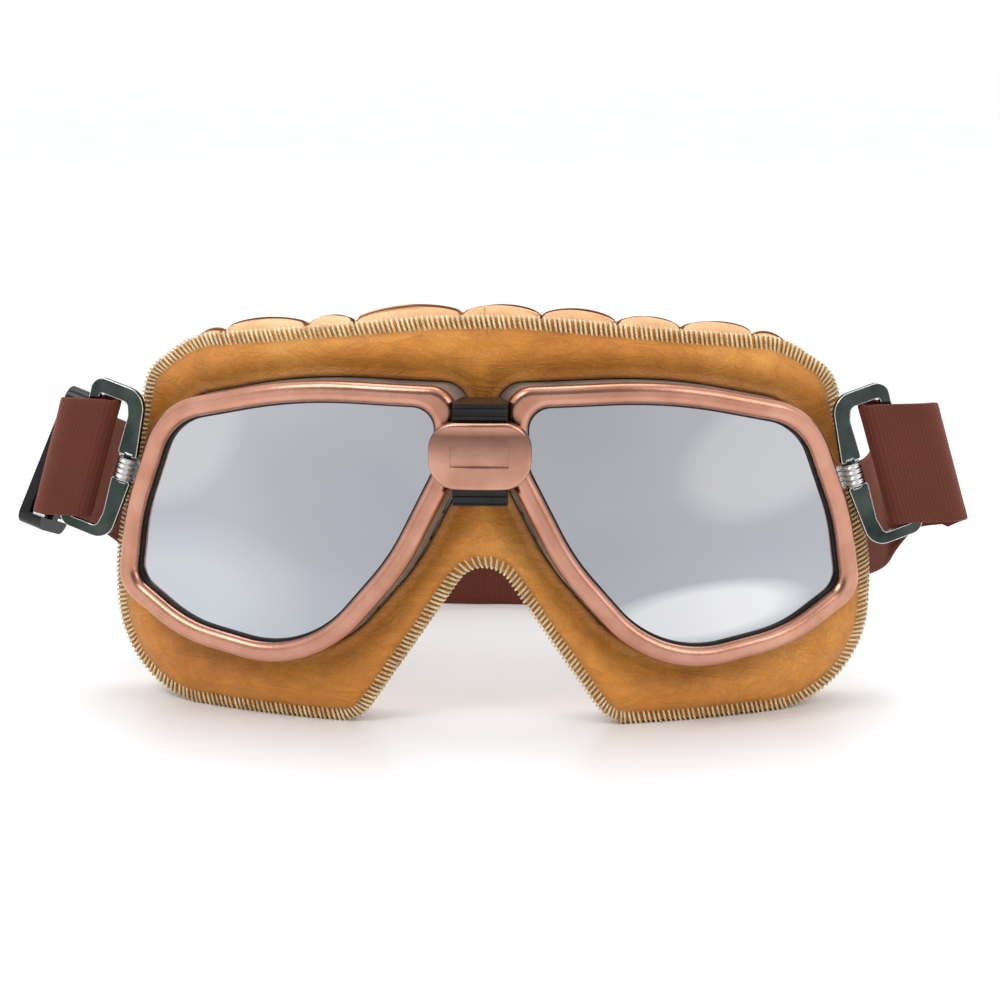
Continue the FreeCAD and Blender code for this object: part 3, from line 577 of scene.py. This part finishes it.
FINISHES = {"rim": COPPER, "bridge_plate": PLATE, "lens": MIRROR, "lens_gasket": RUBBER, "eyecup": PEWTER,
            "vent_mesh": WIRE, "strap_hook": CHROME, "hook_lug": RIDGED, "lug_rivets": STEEL,
            "bridge_screws": STEEL, "bridge_block": BLACK, "strap_slider": BLACK}

for name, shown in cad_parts.items():
    finish = FINISHES.get(name.split("_", 1)[1] if name.startswith(("left_", "right_")) else name)
    if finish is not None:
        shown.data.materials.clear()
        shown.data.materials.append(finish)

# ---------------------------------------------------------------- leather face

FACE_LOOP = outline(both_sides(FACE_HALF))
BOUNDARY_COUNT = 300
CENTRE_COUNT = 36
LEATHER_RINGS = 20
DIP_AT_EYE = 1.2                   # the hide's puff where it meets the eyecup
HEM = 2.3                          # flat stitched edge
CROWN = 3.3                        # how far the hide stands proud inside the hem
CROWN_RUN = 8.5
STITCH_LINE = 2.6                  # where painted shade runs along the stitches, in from the hide's edge


def spokes(outer_half, inner_loop, rings):
    """Points from an eye's loop out to half the face's edge and its middle line: [ring][spoke]."""
    edge = resample(outer_half, BOUNDARY_COUNT)
    top, bottom = edge[0, 1], edge[-1, 1]
    middle = np.linspace(bottom, top, CENTRE_COUNT + 2)[1:-1]
    outer = np.vstack([edge, np.column_stack([np.zeros(CENTRE_COUNT), middle])])
    away = inner_loop - EYE_MIDDLE
    angle = np.arctan2(away[:, 1], away[:, 0])
    order = np.argsort(angle)
    target = outer - EYE_MIDDLE
    reach = np.interp(np.arctan2(target[:, 1], target[:, 0]), angle[order],
                      np.linalg.norm(away, axis=1)[order], period=2 * math.pi)
    inner = EYE_MIDDLE + target / np.linalg.norm(target, axis=1)[:, None] * reach[:, None]
    return inner[None] + (outer - inner)[None] * np.array(rings)[:, None, None]


def closed_sheet(name, front, back):
    """Both halves of a soft layer: front and back grids, joined at the eyes and the outer edge."""
    vertices, faces = [], []
    for side in (1, -1):
        starts = []
        for grid in (front, back):
            starts.append(len(vertices))
            for ring in grid:
                vertices.extend((side * p[0], p[1], p[2]) for p in ring)
        count = front.shape[1]
        for start, grid in zip(starts, (front, back)):
            faces.extend(ring_faces(start, len(grid), count))
        last = (starts[0] + (len(front) - 1) * count, starts[1] + (len(back) - 1) * count)
        for i in range(count):
            n = (i + 1) % count
            faces.append((starts[0] + i, starts[0] + n, starts[1] + n, starts[1] + i))
            if i < BOUNDARY_COUNT - 1:
                faces.append((last[0] + i, last[0] + n, last[1] + n, last[1] + i))
    return weld(new_piece(name, vertices, faces))


def crease(points, start, end, width):
    """1 on a line from start to end, fading to 0 at width."""
    start, end = np.array(start), np.array(end)
    run = end - start
    share = np.clip(((points - start) @ run) / (run @ run), 0, 1)
    away = np.linalg.norm(points - start - share[:, None] * run, axis=1)
    return np.exp(-(away / width) ** 2) * np.clip(1.15 - share, 0, 1)


# pulled folds in the hide: start, end, width, depth
CREASES = [((15.5, 94.0), (8.5, 84.0), 2.0, 0.9), ((12.0, 58.0), (4.0, 50.0), 1.3, 0.45),
           ((24.0, 38.0), (16.0, 28.0), 1.3, 0.4), ((40.0, 9.0), (38.0, 3.5), 1.6, 0.5),
           ((78.0, 86.0), (83.0, 76.0), 1.6, 0.35), ((62.0, 6.5), (60.0, 2.5), 1.5, 0.4)]


def make_leather_face():
    """The puffed front layer; a point attribute holds its painted shade, strongest where the hide meets the
    eyecups and weaker along the stitch line.
    """
    shares = [(j / LEATHER_RINGS) ** 0.9 for j in range(LEATHER_RINGS + 1)]
    inner = eye_on_face(0.0, -DIP_AT_EYE)
    grid = spokes(right_half(FACE_LOOP), inner, shares)
    flat = grid.reshape(-1, 2)
    to_edge = reach_to(flat, FACE_LOOP)
    to_eye = reach_to(flat, inner)
    base = face_y(flat[:, 0])
    crown = CROWN * dome(np.maximum(to_edge - HEM, 0), CROWN_RUN)
    puff = crown * smooth(to_eye, -1.0, 8.0)
    puff = np.maximum(puff, DIP_AT_EYE * (1 - smooth(to_eye, 0, 5)) * smooth(to_edge, 1.0, 4.0))
    shape = np.column_stack([flat[:, 0], flat[:, 1], base])
    loose = smooth(to_edge, 2.0, 6.0) * smooth(to_eye, 0.2, 4.0)
    puff += loose * (0.34 * ripple(shape, 15.0, 1) + 0.2 * ripple(shape, 5.5, 2))
    for start, end, width, depth in CREASES:
        puff -= depth * loose * crease(flat, start, end, width)
    front = np.column_stack([flat[:, 0], base - puff, flat[:, 1]]).reshape(*grid.shape[:2], 3)
    back = front[::5].copy()
    back[:, :, 1] = face_y(back[:, :, 0]) + LEATHER_THICK
    piece = closed_sheet("face_leather", front, back)
    points = np.array([(abs(v.co.x) / MM, v.co.z / MM) for v in piece.data.vertices])
    from_line = np.abs(reach_to(points, FACE_LOOP) - STITCH_LINE)
    # painted shade: strongest at the eyecups, weaker along the stitch line
    painted_shade = 0.62 * np.exp(-reach_to(points, inner) / 2.2) + 0.22 * np.exp(-from_line / 0.8)
    layer = piece.data.attributes.new("painted_shade", "FLOAT", "POINT")
    layer.data.foreach_set("value", np.clip(painted_shade, 0, 1).astype(np.float32))
    piece.data.materials.append(TAN)
    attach(piece, "root")
    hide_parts("leather_mask")


# places across the top where the rear roll is gathered, and the roll's own gathers lower down
TOP_GATHERS = (-64.0, -43.0, -31.0, -5.0, 13.0, 31.0, 46.0, 64.0)
MIDDLE_GATHERS = {-1: TOP_GATHERS[3], 1: TOP_GATHERS[4]}
LOW_GATHER = 15.0
WIDE_GATHER = 22.0                 # a lobe this wide is at its full size
UPPER_EDGE = 60.0                  # the top of the roll is above this height

ROLL_RINGS = 26
ROLL_INSET = 3.4                   # its opening, inside the eyecup's outline
ROLL_AHEAD = 0.1                   # gap to the leather
ROLL_FRONT_SHARE = 0.8             # of half its depth, ahead of its middle, and the rest behind
ROLL_BACK_SHARE = 1.2
ROLL_EDGE_ROUND = 7.5
ROLL_EYE_ROUND = 5.0
ROLL_FRONT_ROUND = 4.5
ROLL_POWER = 2.4
SEAM_FROM_EYE = 6.0
SEAM_WIDTH = 0.9
SEAM_DEPTH = 1.1


def gather(edge, side):
    """For each point of the half edge: 0 where it is drawn in, 1 between; and its lobe's size."""
    run = np.concatenate([[0], np.cumsum(np.linalg.norm(np.diff(edge, axis=0), axis=1))])
    x = side * edge[:, 0]
    off = np.where(edge[:, 1] > UPPER_EDGE, 0.0, 1e6)
    marks = [run[int(np.argmin(np.abs(x - at) + off))] for at in TOP_GATHERS if side * at > 0]
    marks.append(-abs(MIDDLE_GATHERS[-side]))
    marks = sorted(marks)
    while marks[-1] < run[-1] + LOW_GATHER:
        marks.append(marks[-1] + LOW_GATHER)
    at = np.searchsorted(marks, run, side="right")
    low = np.array([marks[max(k - 1, 0)] for k in at])
    high = np.array([marks[min(k, len(marks) - 1)] for k in at])
    share = (run - low) / np.maximum(high - low, 1e-6)
    drawn = np.sqrt(np.clip(np.sin(math.pi * np.clip(share, 0, 1)), 0, 1))
    return drawn, np.clip((high - low) / WIDE_GATHER, 0.4, 1.1)


def half_cushion(side):
    """One half of the rear roll: front and back grids in the right half's x."""
    shares = [0.5 - 0.5 * math.cos(math.pi * j / ROLL_RINGS) for j in range(ROLL_RINGS + 1)]
    edge = resample(right_half(outline(both_sides(PAD_HALF))), BOUNDARY_COUNT)
    drawn, lobe = gather(edge, side)
    high = smooth(edge[:, 1], 78.0, 88.0)
    pull = (1 - drawn) * (0.5 + 1.9 * high) + high * (1.1 - lobe)
    ahead = np.gradient(edge, axis=0)
    inward = np.column_stack([ahead[:, 1], -ahead[:, 0]]) / np.linalg.norm(ahead, axis=1)[:, None]
    edge = edge + inward * pull[:, None] * (edge[:, 0] > 0.01)[:, None]
    edge[0, 1] -= pull[0]
    edge[:, 1] = np.maximum(edge[:, 1], 0.05)
    inner = eye_on_face(ROLL_INSET, LEATHER_THICK + 5.0)
    grid = spokes(edge, inner, shares)
    flat = grid.reshape(-1, 2)
    whole = np.vstack([edge, edge * (-1, 1)])
    to_edge, to_eye = reach_to(flat, whole), reach_to(flat, inner)
    base = face_y(flat[:, 0]) + LEATHER_THICK + ROLL_AHEAD
    spread = np.concatenate([drawn, np.ones(CENTRE_COUNT)])
    draw = np.tile(1 - spread, len(shares)) * np.exp(-to_edge / 7.0)
    half_deep = (PAD_BACK - LEATHER_THICK) / 2
    middle = base + half_deep * ROLL_FRONT_SHARE
    shape = np.column_stack([side * flat[:, 0], flat[:, 1], base])
    rounding = dome(to_edge, ROLL_EDGE_ROUND) * dome(to_eye, ROLL_EYE_ROUND)
    back = middle + (half_deep * ROLL_BACK_SHARE) * rounding * (1 - 0.5 * draw)
    back += rounding * (0.35 * ripple(shape, 16.0, 3) + 0.22 * ripple(shape, 6.0, 4)) - 0.3 * rounding
    back -= SEAM_DEPTH * np.exp(-((to_eye - SEAM_FROM_EYE) / SEAM_WIDTH) ** 2)
    near = 1 - np.clip(np.minimum(to_edge, to_eye) / ROLL_FRONT_ROUND, 0, 1)
    front = middle - (half_deep * ROLL_FRONT_SHARE) * (1 - near ** ROLL_POWER) ** (1 / ROLL_POWER)
    return [np.column_stack([flat[:, 0], y, flat[:, 1]]).reshape(*grid.shape[:2], 3) for y in (front, back)]


def make_cushion():
    """The rear roll, gathered along its top."""
    vertices, faces = [], []
    for side in (1, -1):
        for grid in half_cushion(side):
            start, count = len(vertices), grid.shape[1]
            for ring in grid:
                vertices.extend((side * p[0], p[1], p[2]) for p in ring)
            faces.extend(ring_faces(start, len(grid), count))
    piece = weld(new_piece("face_cushion", vertices, faces), 0.02)
    piece.data.materials.append(PEACH)
    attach(piece, "root")
    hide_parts("foam_core", "face_pad")


STITCH_PITCH = 1.18
THREAD_RADIUS = 0.29
THREAD_SIDES = 6


def make_whip_stitches():
    """Thread looped over the leather's edge, each stitch slanting to the next hole."""
    loop = resample(FACE_LOOP, pitch=STITCH_PITCH, closed=True)
    ahead = np.roll(loop, -1, axis=0) - np.roll(loop, 1, axis=0)
    ahead = ahead / np.linalg.norm(ahead, axis=1)[:, None]
    area = np.sum(loop[:, 0] * np.roll(loop[:, 1], -1) - np.roll(loop[:, 0], -1) * loop[:, 1])
    out = np.column_stack([ahead[:, 1], -ahead[:, 0]]) * (1 if area > 0 else -1)
    draw = random.Random(4)
    # one stitch: along the edge, out from it, back from the leather's front
    profile = [(0.62, -2.7, 0.15), (0.55, -2.45, -0.38), (0.3, -1.5, -0.55), (0.0, -0.3, -0.45),
               (-0.2, 0.38, 0.1), (-0.3, 0.5, 0.9), (-0.42, 0.3, 1.9), (-0.6, -0.6, 2.5)]
    vertices, faces = [], []
    for p, t, o in zip(loop, ahead, out):
        slip, long = draw.uniform(-0.1, 0.1), draw.uniform(0.93, 1.06)
        points = []
        for along, outward, deep in profile:
            at = p + t * (along + slip) + o * (outward * (long if outward < 0 else 1))
            points.append((at[0], face_y(at[0]) + deep, at[1]))
        add_tube(vertices, faces, points, THREAD_RADIUS, THREAD_SIDES)
    piece = new_piece("whip_stitches", vertices, faces)
    weld(piece, 0.0001)
    piece.data.materials.append(CREAM)
    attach(piece, "root")
    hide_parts("edge_stitching")


make_leather_face()
make_cushion()
make_whip_stitches()

# ---------------------------------------------------------------- strap

# A station is a cross-section: its middle, its half width and its outward normal.
HALF_WIDE = 14.5
HALF_THICK = 0.75
LOOP = 2.4                         # the strap's mid line round the hook's bar
SKEW = math.radians(18.0)
BAR = 12.4                         # the hook's bar, out from the pivot
LOOP_AT = 8.8                      # middle of the loop, out from the pivot
TAIL = 5.0                         # the sewn tail behind the loop
STRAP_DROP = -1.5
LAYER_END = {"left": 15.4, "right": 19.0}    # end of the layer ahead of the fold, out from the pivot
FOLD_RADIUS = {"left": 6.0, "right": 6.6}
SIDE_RUN = 33.0                    # straight run through the slider
ALIGN_LENGTH = 34.0                # over which the free strap turns to match its ends
LEAVE = 9.0                        # how far it keeps the heading of each end
PIVOT = (94.3, 9.0, 58.5)
PIVOT_TILT = math.radians(17.0)
# the free strap from right to left: across, back from the goggles' front, up
ROUTE = [(97.0, 68.0, 45.5), (92.5, 84.0, 38.0), (80.0, 106.0, 29.0), (58.0, 128.0, 21.0),
         (30.0, 144.0, 15.8), (0.0, BACK_Y - FRONT_Y - HALF_THICK, HALF_WIDE), (-30.0, 144.5, 15.8),
         (-60.0, 130.0, 21.5), (-84.0, 109.0, 30.0)]
FREE_COUNT = 241
RIGHT_FREE = 36                    # the free strap's steps that go with the right end
LEFT_FREE = 24


def hook_frame(side):
    """Places the hook's own frame, with its pivot along Z."""
    cup = Matrix.Translation((0, FRONT_Y, 0)) @ Matrix.Rotation(side * WRAP, 4, "Z")
    pivot = Matrix.Translation((side * PIVOT[0], PIVOT[1], PIVOT[2]))
    return cup @ pivot @ Matrix.Rotation(-side * PIVOT_TILT, 4, "Y")


def hook_station(side, out, back, travel, facing, lean=1.0):
    """A station out and back in the hook's frame; travel along the strap lowers it by the skew."""
    turn = math.radians(facing)
    normal = Vector((side * math.cos(turn), math.sin(turn), 0))
    along = Vector((-side * math.sin(turn), math.cos(turn), 0))
    squared = (Vector((0, 0, math.cos(SKEW))) + along * math.sin(SKEW)) * HALF_WIDE
    width = Vector((0, 0, HALF_WIDE / math.cos(SKEW))) * lean + squared * (1 - lean)
    middle = Vector((side * out, back, STRAP_DROP - travel * math.tan(SKEW)))
    matrix = hook_frame(side)
    spin = matrix.to_3x3()
    return matrix @ middle, spin @ width, spin @ normal


def loop_stations(side):
    """The sewn tail and the loop round the hook's bar."""
    start = LOOP_AT - BAR
    loop = []
    for facing in range(90, 271, 12):
        turn = math.radians(facing)
        travel = start + LOOP * (facing - 270) * 0.006
        out, back = LOOP_AT + LOOP * math.cos(turn), LOOP * math.sin(turn)
        loop.append(hook_station(side, out, back, travel, facing))
    tail = []
    for share in (1.0, 0.75, 0.5, 0.25):
        travel = start + TAIL * share - 1.08 * LOOP * (1 - share)
        tail.append(hook_station(side, LOOP_AT + TAIL * share, LOOP, travel, 90))
    return tail + loop


def layer_and_fold(name, side, last_angle):
    """The layer that runs out from the loop, and the fold that takes it back to last_angle degrees."""
    end, radius = LAYER_END[name], FOLD_RADIUS[name]
    stations = []
    for k in range(1, 10):
        out = LOOP_AT + (end - LOOP_AT) * k / 10
        stations.append(hook_station(side, out, -LOOP, out - BAR, 270))
    for angle in np.linspace(0, last_angle, 24):
        turn = math.radians(angle - 90)
        travel = end - BAR + radius * math.radians(angle)
        stations.append(hook_station(side, end + radius * math.cos(turn),
                                     radius - LOOP + radius * math.sin(turn), travel, angle - 90))
    return stations


def side_run(name, side):
    """The straight run behind the fold, through the slider."""
    out, back = LAYER_END[name] + FOLD_RADIUS[name], FOLD_RADIUS[name] - LOOP
    travel = LAYER_END[name] - BAR + FOLD_RADIUS[name] * math.pi / 2
    stations = []
    for run in np.linspace(1.5, SIDE_RUN, 22):
        lean = 1 - float(smooth(run, 0.0, 6.0))
        stations.append(hook_station(side, out, back + run, travel + run, 0, lean))
    return stations


def spline(points, count):
    """Even points and headings on a smooth cubic through the given points."""
    points = np.array([tuple(p) for p in points])
    knots = np.concatenate([[0], np.cumsum(np.linalg.norm(np.diff(points, axis=0), axis=1))])
    gaps = np.diff(knots)
    n = len(points)
    system, right = np.eye(n), np.zeros((n, 3))
    for i in range(1, n - 1):
        system[i, i - 1:i + 2] = gaps[i - 1], 2 * (gaps[i - 1] + gaps[i]), gaps[i]
        right[i] = 6 * ((points[i + 1] - points[i]) / gaps[i] - (points[i] - points[i - 1]) / gaps[i - 1])
    bend = np.linalg.solve(system, right)
    at = np.linspace(0, knots[-1], 3000)
    k = np.clip(np.searchsorted(knots, at, side="right") - 1, 0, n - 2)
    u = ((at - knots[k]) / gaps[k])[:, None]
    h = (gaps[k] ** 2 / 6)[:, None]
    line = (points[k] * (1 - u) + points[k + 1] * u
            + h * (((1 - u) ** 3 - (1 - u)) * bend[k] + (u ** 3 - u) * bend[k + 1]))
    line = resample(line, count)
    headings = np.gradient(line, axis=0)
    return [Vector(p) for p in line], [Vector(h).normalized() for h in headings]


def free_stations(start, end):
    """The strap behind the goggles, from one station to another."""
    leave = start[1].cross(start[2]).normalized() * LEAVE
    arrive = end[1].cross(end[2]).normalized() * LEAVE
    route = [Vector((x, FRONT_Y + y, z)) for x, y, z in ROUTE]
    middles, headings = spline([start[0], start[0] + leave] + route + [end[0] - arrive, end[0]], FREE_COUNT)
    stations = [start]
    for middle, along in zip(middles[1:-1], headings[1:-1]):
        width = (Vector((0, 0, 1)) - along * along.z).normalized()
        for other in (start, end):
            near = 1 - (middle - other[0]).length / ALIGN_LENGTH
            if near > 0:
                share = near * near * (3 - 2 * near)
                width = width * (1 - share) + other[1].normalized() * share
        width = width.normalized() * HALF_WIDE
        stations.append((middle, width, along.cross(width).normalized()))
    return stations + [end]


SECTION_STEPS = 18
ABOVE_FLOOR = 0.02


def strap_section():
    """(across from -1 to 1, through from -1 to 1) round the webbing, with thicker selvedges."""
    front = []
    for k in range(SECTION_STEPS + 1):
        across = -0.965 + 1.93 * k / SECTION_STEPS
        selvedge = 0.16 * math.exp(-((abs(across) - 0.9) / 0.045) ** 2)
        front.append((across, 0.93 + selvedge))
    edge = [(0.988, 0.72), (1.0, 0.0), (0.988, -0.72)]
    back = [(a, -t) for a, t in reversed(front)]
    return front + edge + back + [(-a, t) for a, t in reversed(edge)]


def ribbon(name, stations, start_run, cap_start=False):
    """Webbing through the stations; it gives back the piece and the run at its end."""
    section = strap_section()
    count = len(section)
    vertices, uvs = [], []
    run = start_run
    last = None
    for middle, width, normal in stations:
        if last is not None:
            run += (middle - last).length
        last = middle
        for across, through in section:
            p = middle + width * across + normal * (HALF_THICK * through)
            p.z = max(p.z, ABOVE_FLOOR)
            vertices.append(p)
            uvs.append((run * MM, across * HALF_WIDE * MM))
    faces = ring_faces(0, len(stations), count)
    if cap_start:
        faces.append(tuple(range(count - 1, -1, -1)))
    piece = weld(new_piece(name, vertices, faces, uvs), 0)
    piece.data.materials.append(WEBBING)
    return piece, run


def bend_from(piece, last):
    """Bakes the webbing's placement into its mesh; it works out the heading at the last section but does not
    use it.
    """
    along = last[1].cross(last[2]).normalized()
    if along.y < 0:
        along = -along
    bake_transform(piece)


def make_strap():
    """Three pieces that meet: both ends, and the rear band, which is attached to the root."""
    right_end = loop_stations(1) + layer_and_fold("right", 1, 140.0)
    left_end = loop_stations(-1) + layer_and_fold("left", -1, 90.0) + side_run("left", -1)
    last = left_end[-1]
    free = free_stations(right_end[-1], last)
    right, run = ribbon("right_strap", right_end + free[1:RIGHT_FREE + 1], 0.0, cap_start=True)
    band, run = ribbon("rear_strap", free[RIGHT_FREE:FREE_COUNT - LEFT_FREE], run)
    left_free = [(m, w, -n if n.dot(last[2]) < 0 else n) for m, w, n in free[-1 - LEFT_FREE:-1]]
    left, run = ribbon("left_strap", left_end + left_free[::-1], 0.0, cap_start=True)
    bend_from(right, free[RIGHT_FREE])
    bend_from(left, free[-1 - LEFT_FREE])
    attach(band, "root")
    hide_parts("right_strap_end", "right_strap_fold")
    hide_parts("left_strap_end", "left_strap_fold")
    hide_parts("strap_band")


make_strap()

# ---------------------------------------------------------------- floor, light and camera

FLOOR = 4000.0                     # half its side
CAMERA_AZIMUTH = math.radians(3.0)
CAMERA_ELEVATION = math.radians(11.5)
CAMERA_DISTANCE = 650.0
CAMERA_TARGET = Vector((0.0, FRONT_Y + 5.0, 49.0))
CAMERA_LENS = 102.0
AIM_RIGHT, AIM_UP = 4.5, 8.2       # the camera looks past the target by this much


def make_floor():
    corners = [(-FLOOR, -FLOOR, 0), (FLOOR, -FLOOR, 0), (FLOOR, FLOOR, 0), (-FLOOR, FLOOR, 0)]
    piece = new_piece("studio_floor", corners, [(0, 1, 2, 3)])
    material, tree, shader = new_material("white_paper", roughness=0.6, color=(0.93, 0.93, 0.935))
    soft = grain(tree, place(tree), 60.0, 1.0)
    set_rough(tree, shader, ramp(tree, soft, [(0.3, grey(0.34)), (0.7, grey(0.38))]))
    piece.data.materials.append(material)


def add_light(name, at, target, size, power):
    """A soft box at a place, turned to a target; millimetres and watts."""
    light = bpy.data.lights.new(name, "AREA")
    light.shape = "RECTANGLE"
    light.size, light.size_y = size[0] * MM, size[1] * MM
    light.energy = power
    lamp = bpy.data.objects.new(name, light)
    bpy.context.scene.collection.objects.link(lamp)
    lamp.location = Vector(at) * MM
    lamp.rotation_euler = (Vector(target) - Vector(at)).to_track_quat("-Z", "Y").to_euler()


def make_world():
    """A white room, darker in front of the goggles."""
    world = bpy.data.worlds.new("studio")
    bpy.context.scene.world = world
    world.use_nodes = True
    tree = world.node_tree
    heading = node(tree, "TexCoord").outputs["Generated"]
    ahead = node(tree, "VectorMath", [(0, heading)], operation="DOT_PRODUCT")
    ahead.inputs[1].default_value = (0.0, -0.97, 0.24)
    tone = ramp(tree, ahead.outputs["Value"], [(0.62, (1.12, 1.125, 1.14)), (0.94, (0.26, 0.27, 0.29))])
    tree.links.new(tone, tree.nodes["Background"].inputs["Color"])


def make_camera():
    level = math.cos(CAMERA_ELEVATION)
    away = Vector((math.sin(CAMERA_AZIMUTH) * level, -math.cos(CAMERA_AZIMUTH) * level,
                   math.sin(CAMERA_ELEVATION)))
    data = bpy.data.cameras.new("camera")
    data.lens = CAMERA_LENS
    data.clip_start = 0.01
    camera = bpy.data.objects.new("camera", data)
    bpy.context.scene.collection.objects.link(camera)
    camera.location = (CAMERA_TARGET + away * CAMERA_DISTANCE) * MM
    right = Vector((0, 0, 1)).cross(away).normalized()
    up = away.cross(right).normalized()
    aim = CAMERA_TARGET + right * AIM_RIGHT + up * AIM_UP
    camera.rotation_euler = (aim * MM - camera.location).to_track_quat("-Z", "Y").to_euler()
    bpy.context.scene.camera = camera


make_floor()
make_world()
add_light("key", (-420, -520, 760), (0, -30, 50), (420, 420), 2.6)
add_light("fill", (560, -420, 420), (0, -30, 50), (380, 380), 0.9)
add_light("top", (0, 160, 800), (0, 0, 50), (500, 300), 1.2)
make_camera()
bpy.context.scene.view_settings.view_transform = "Standard"
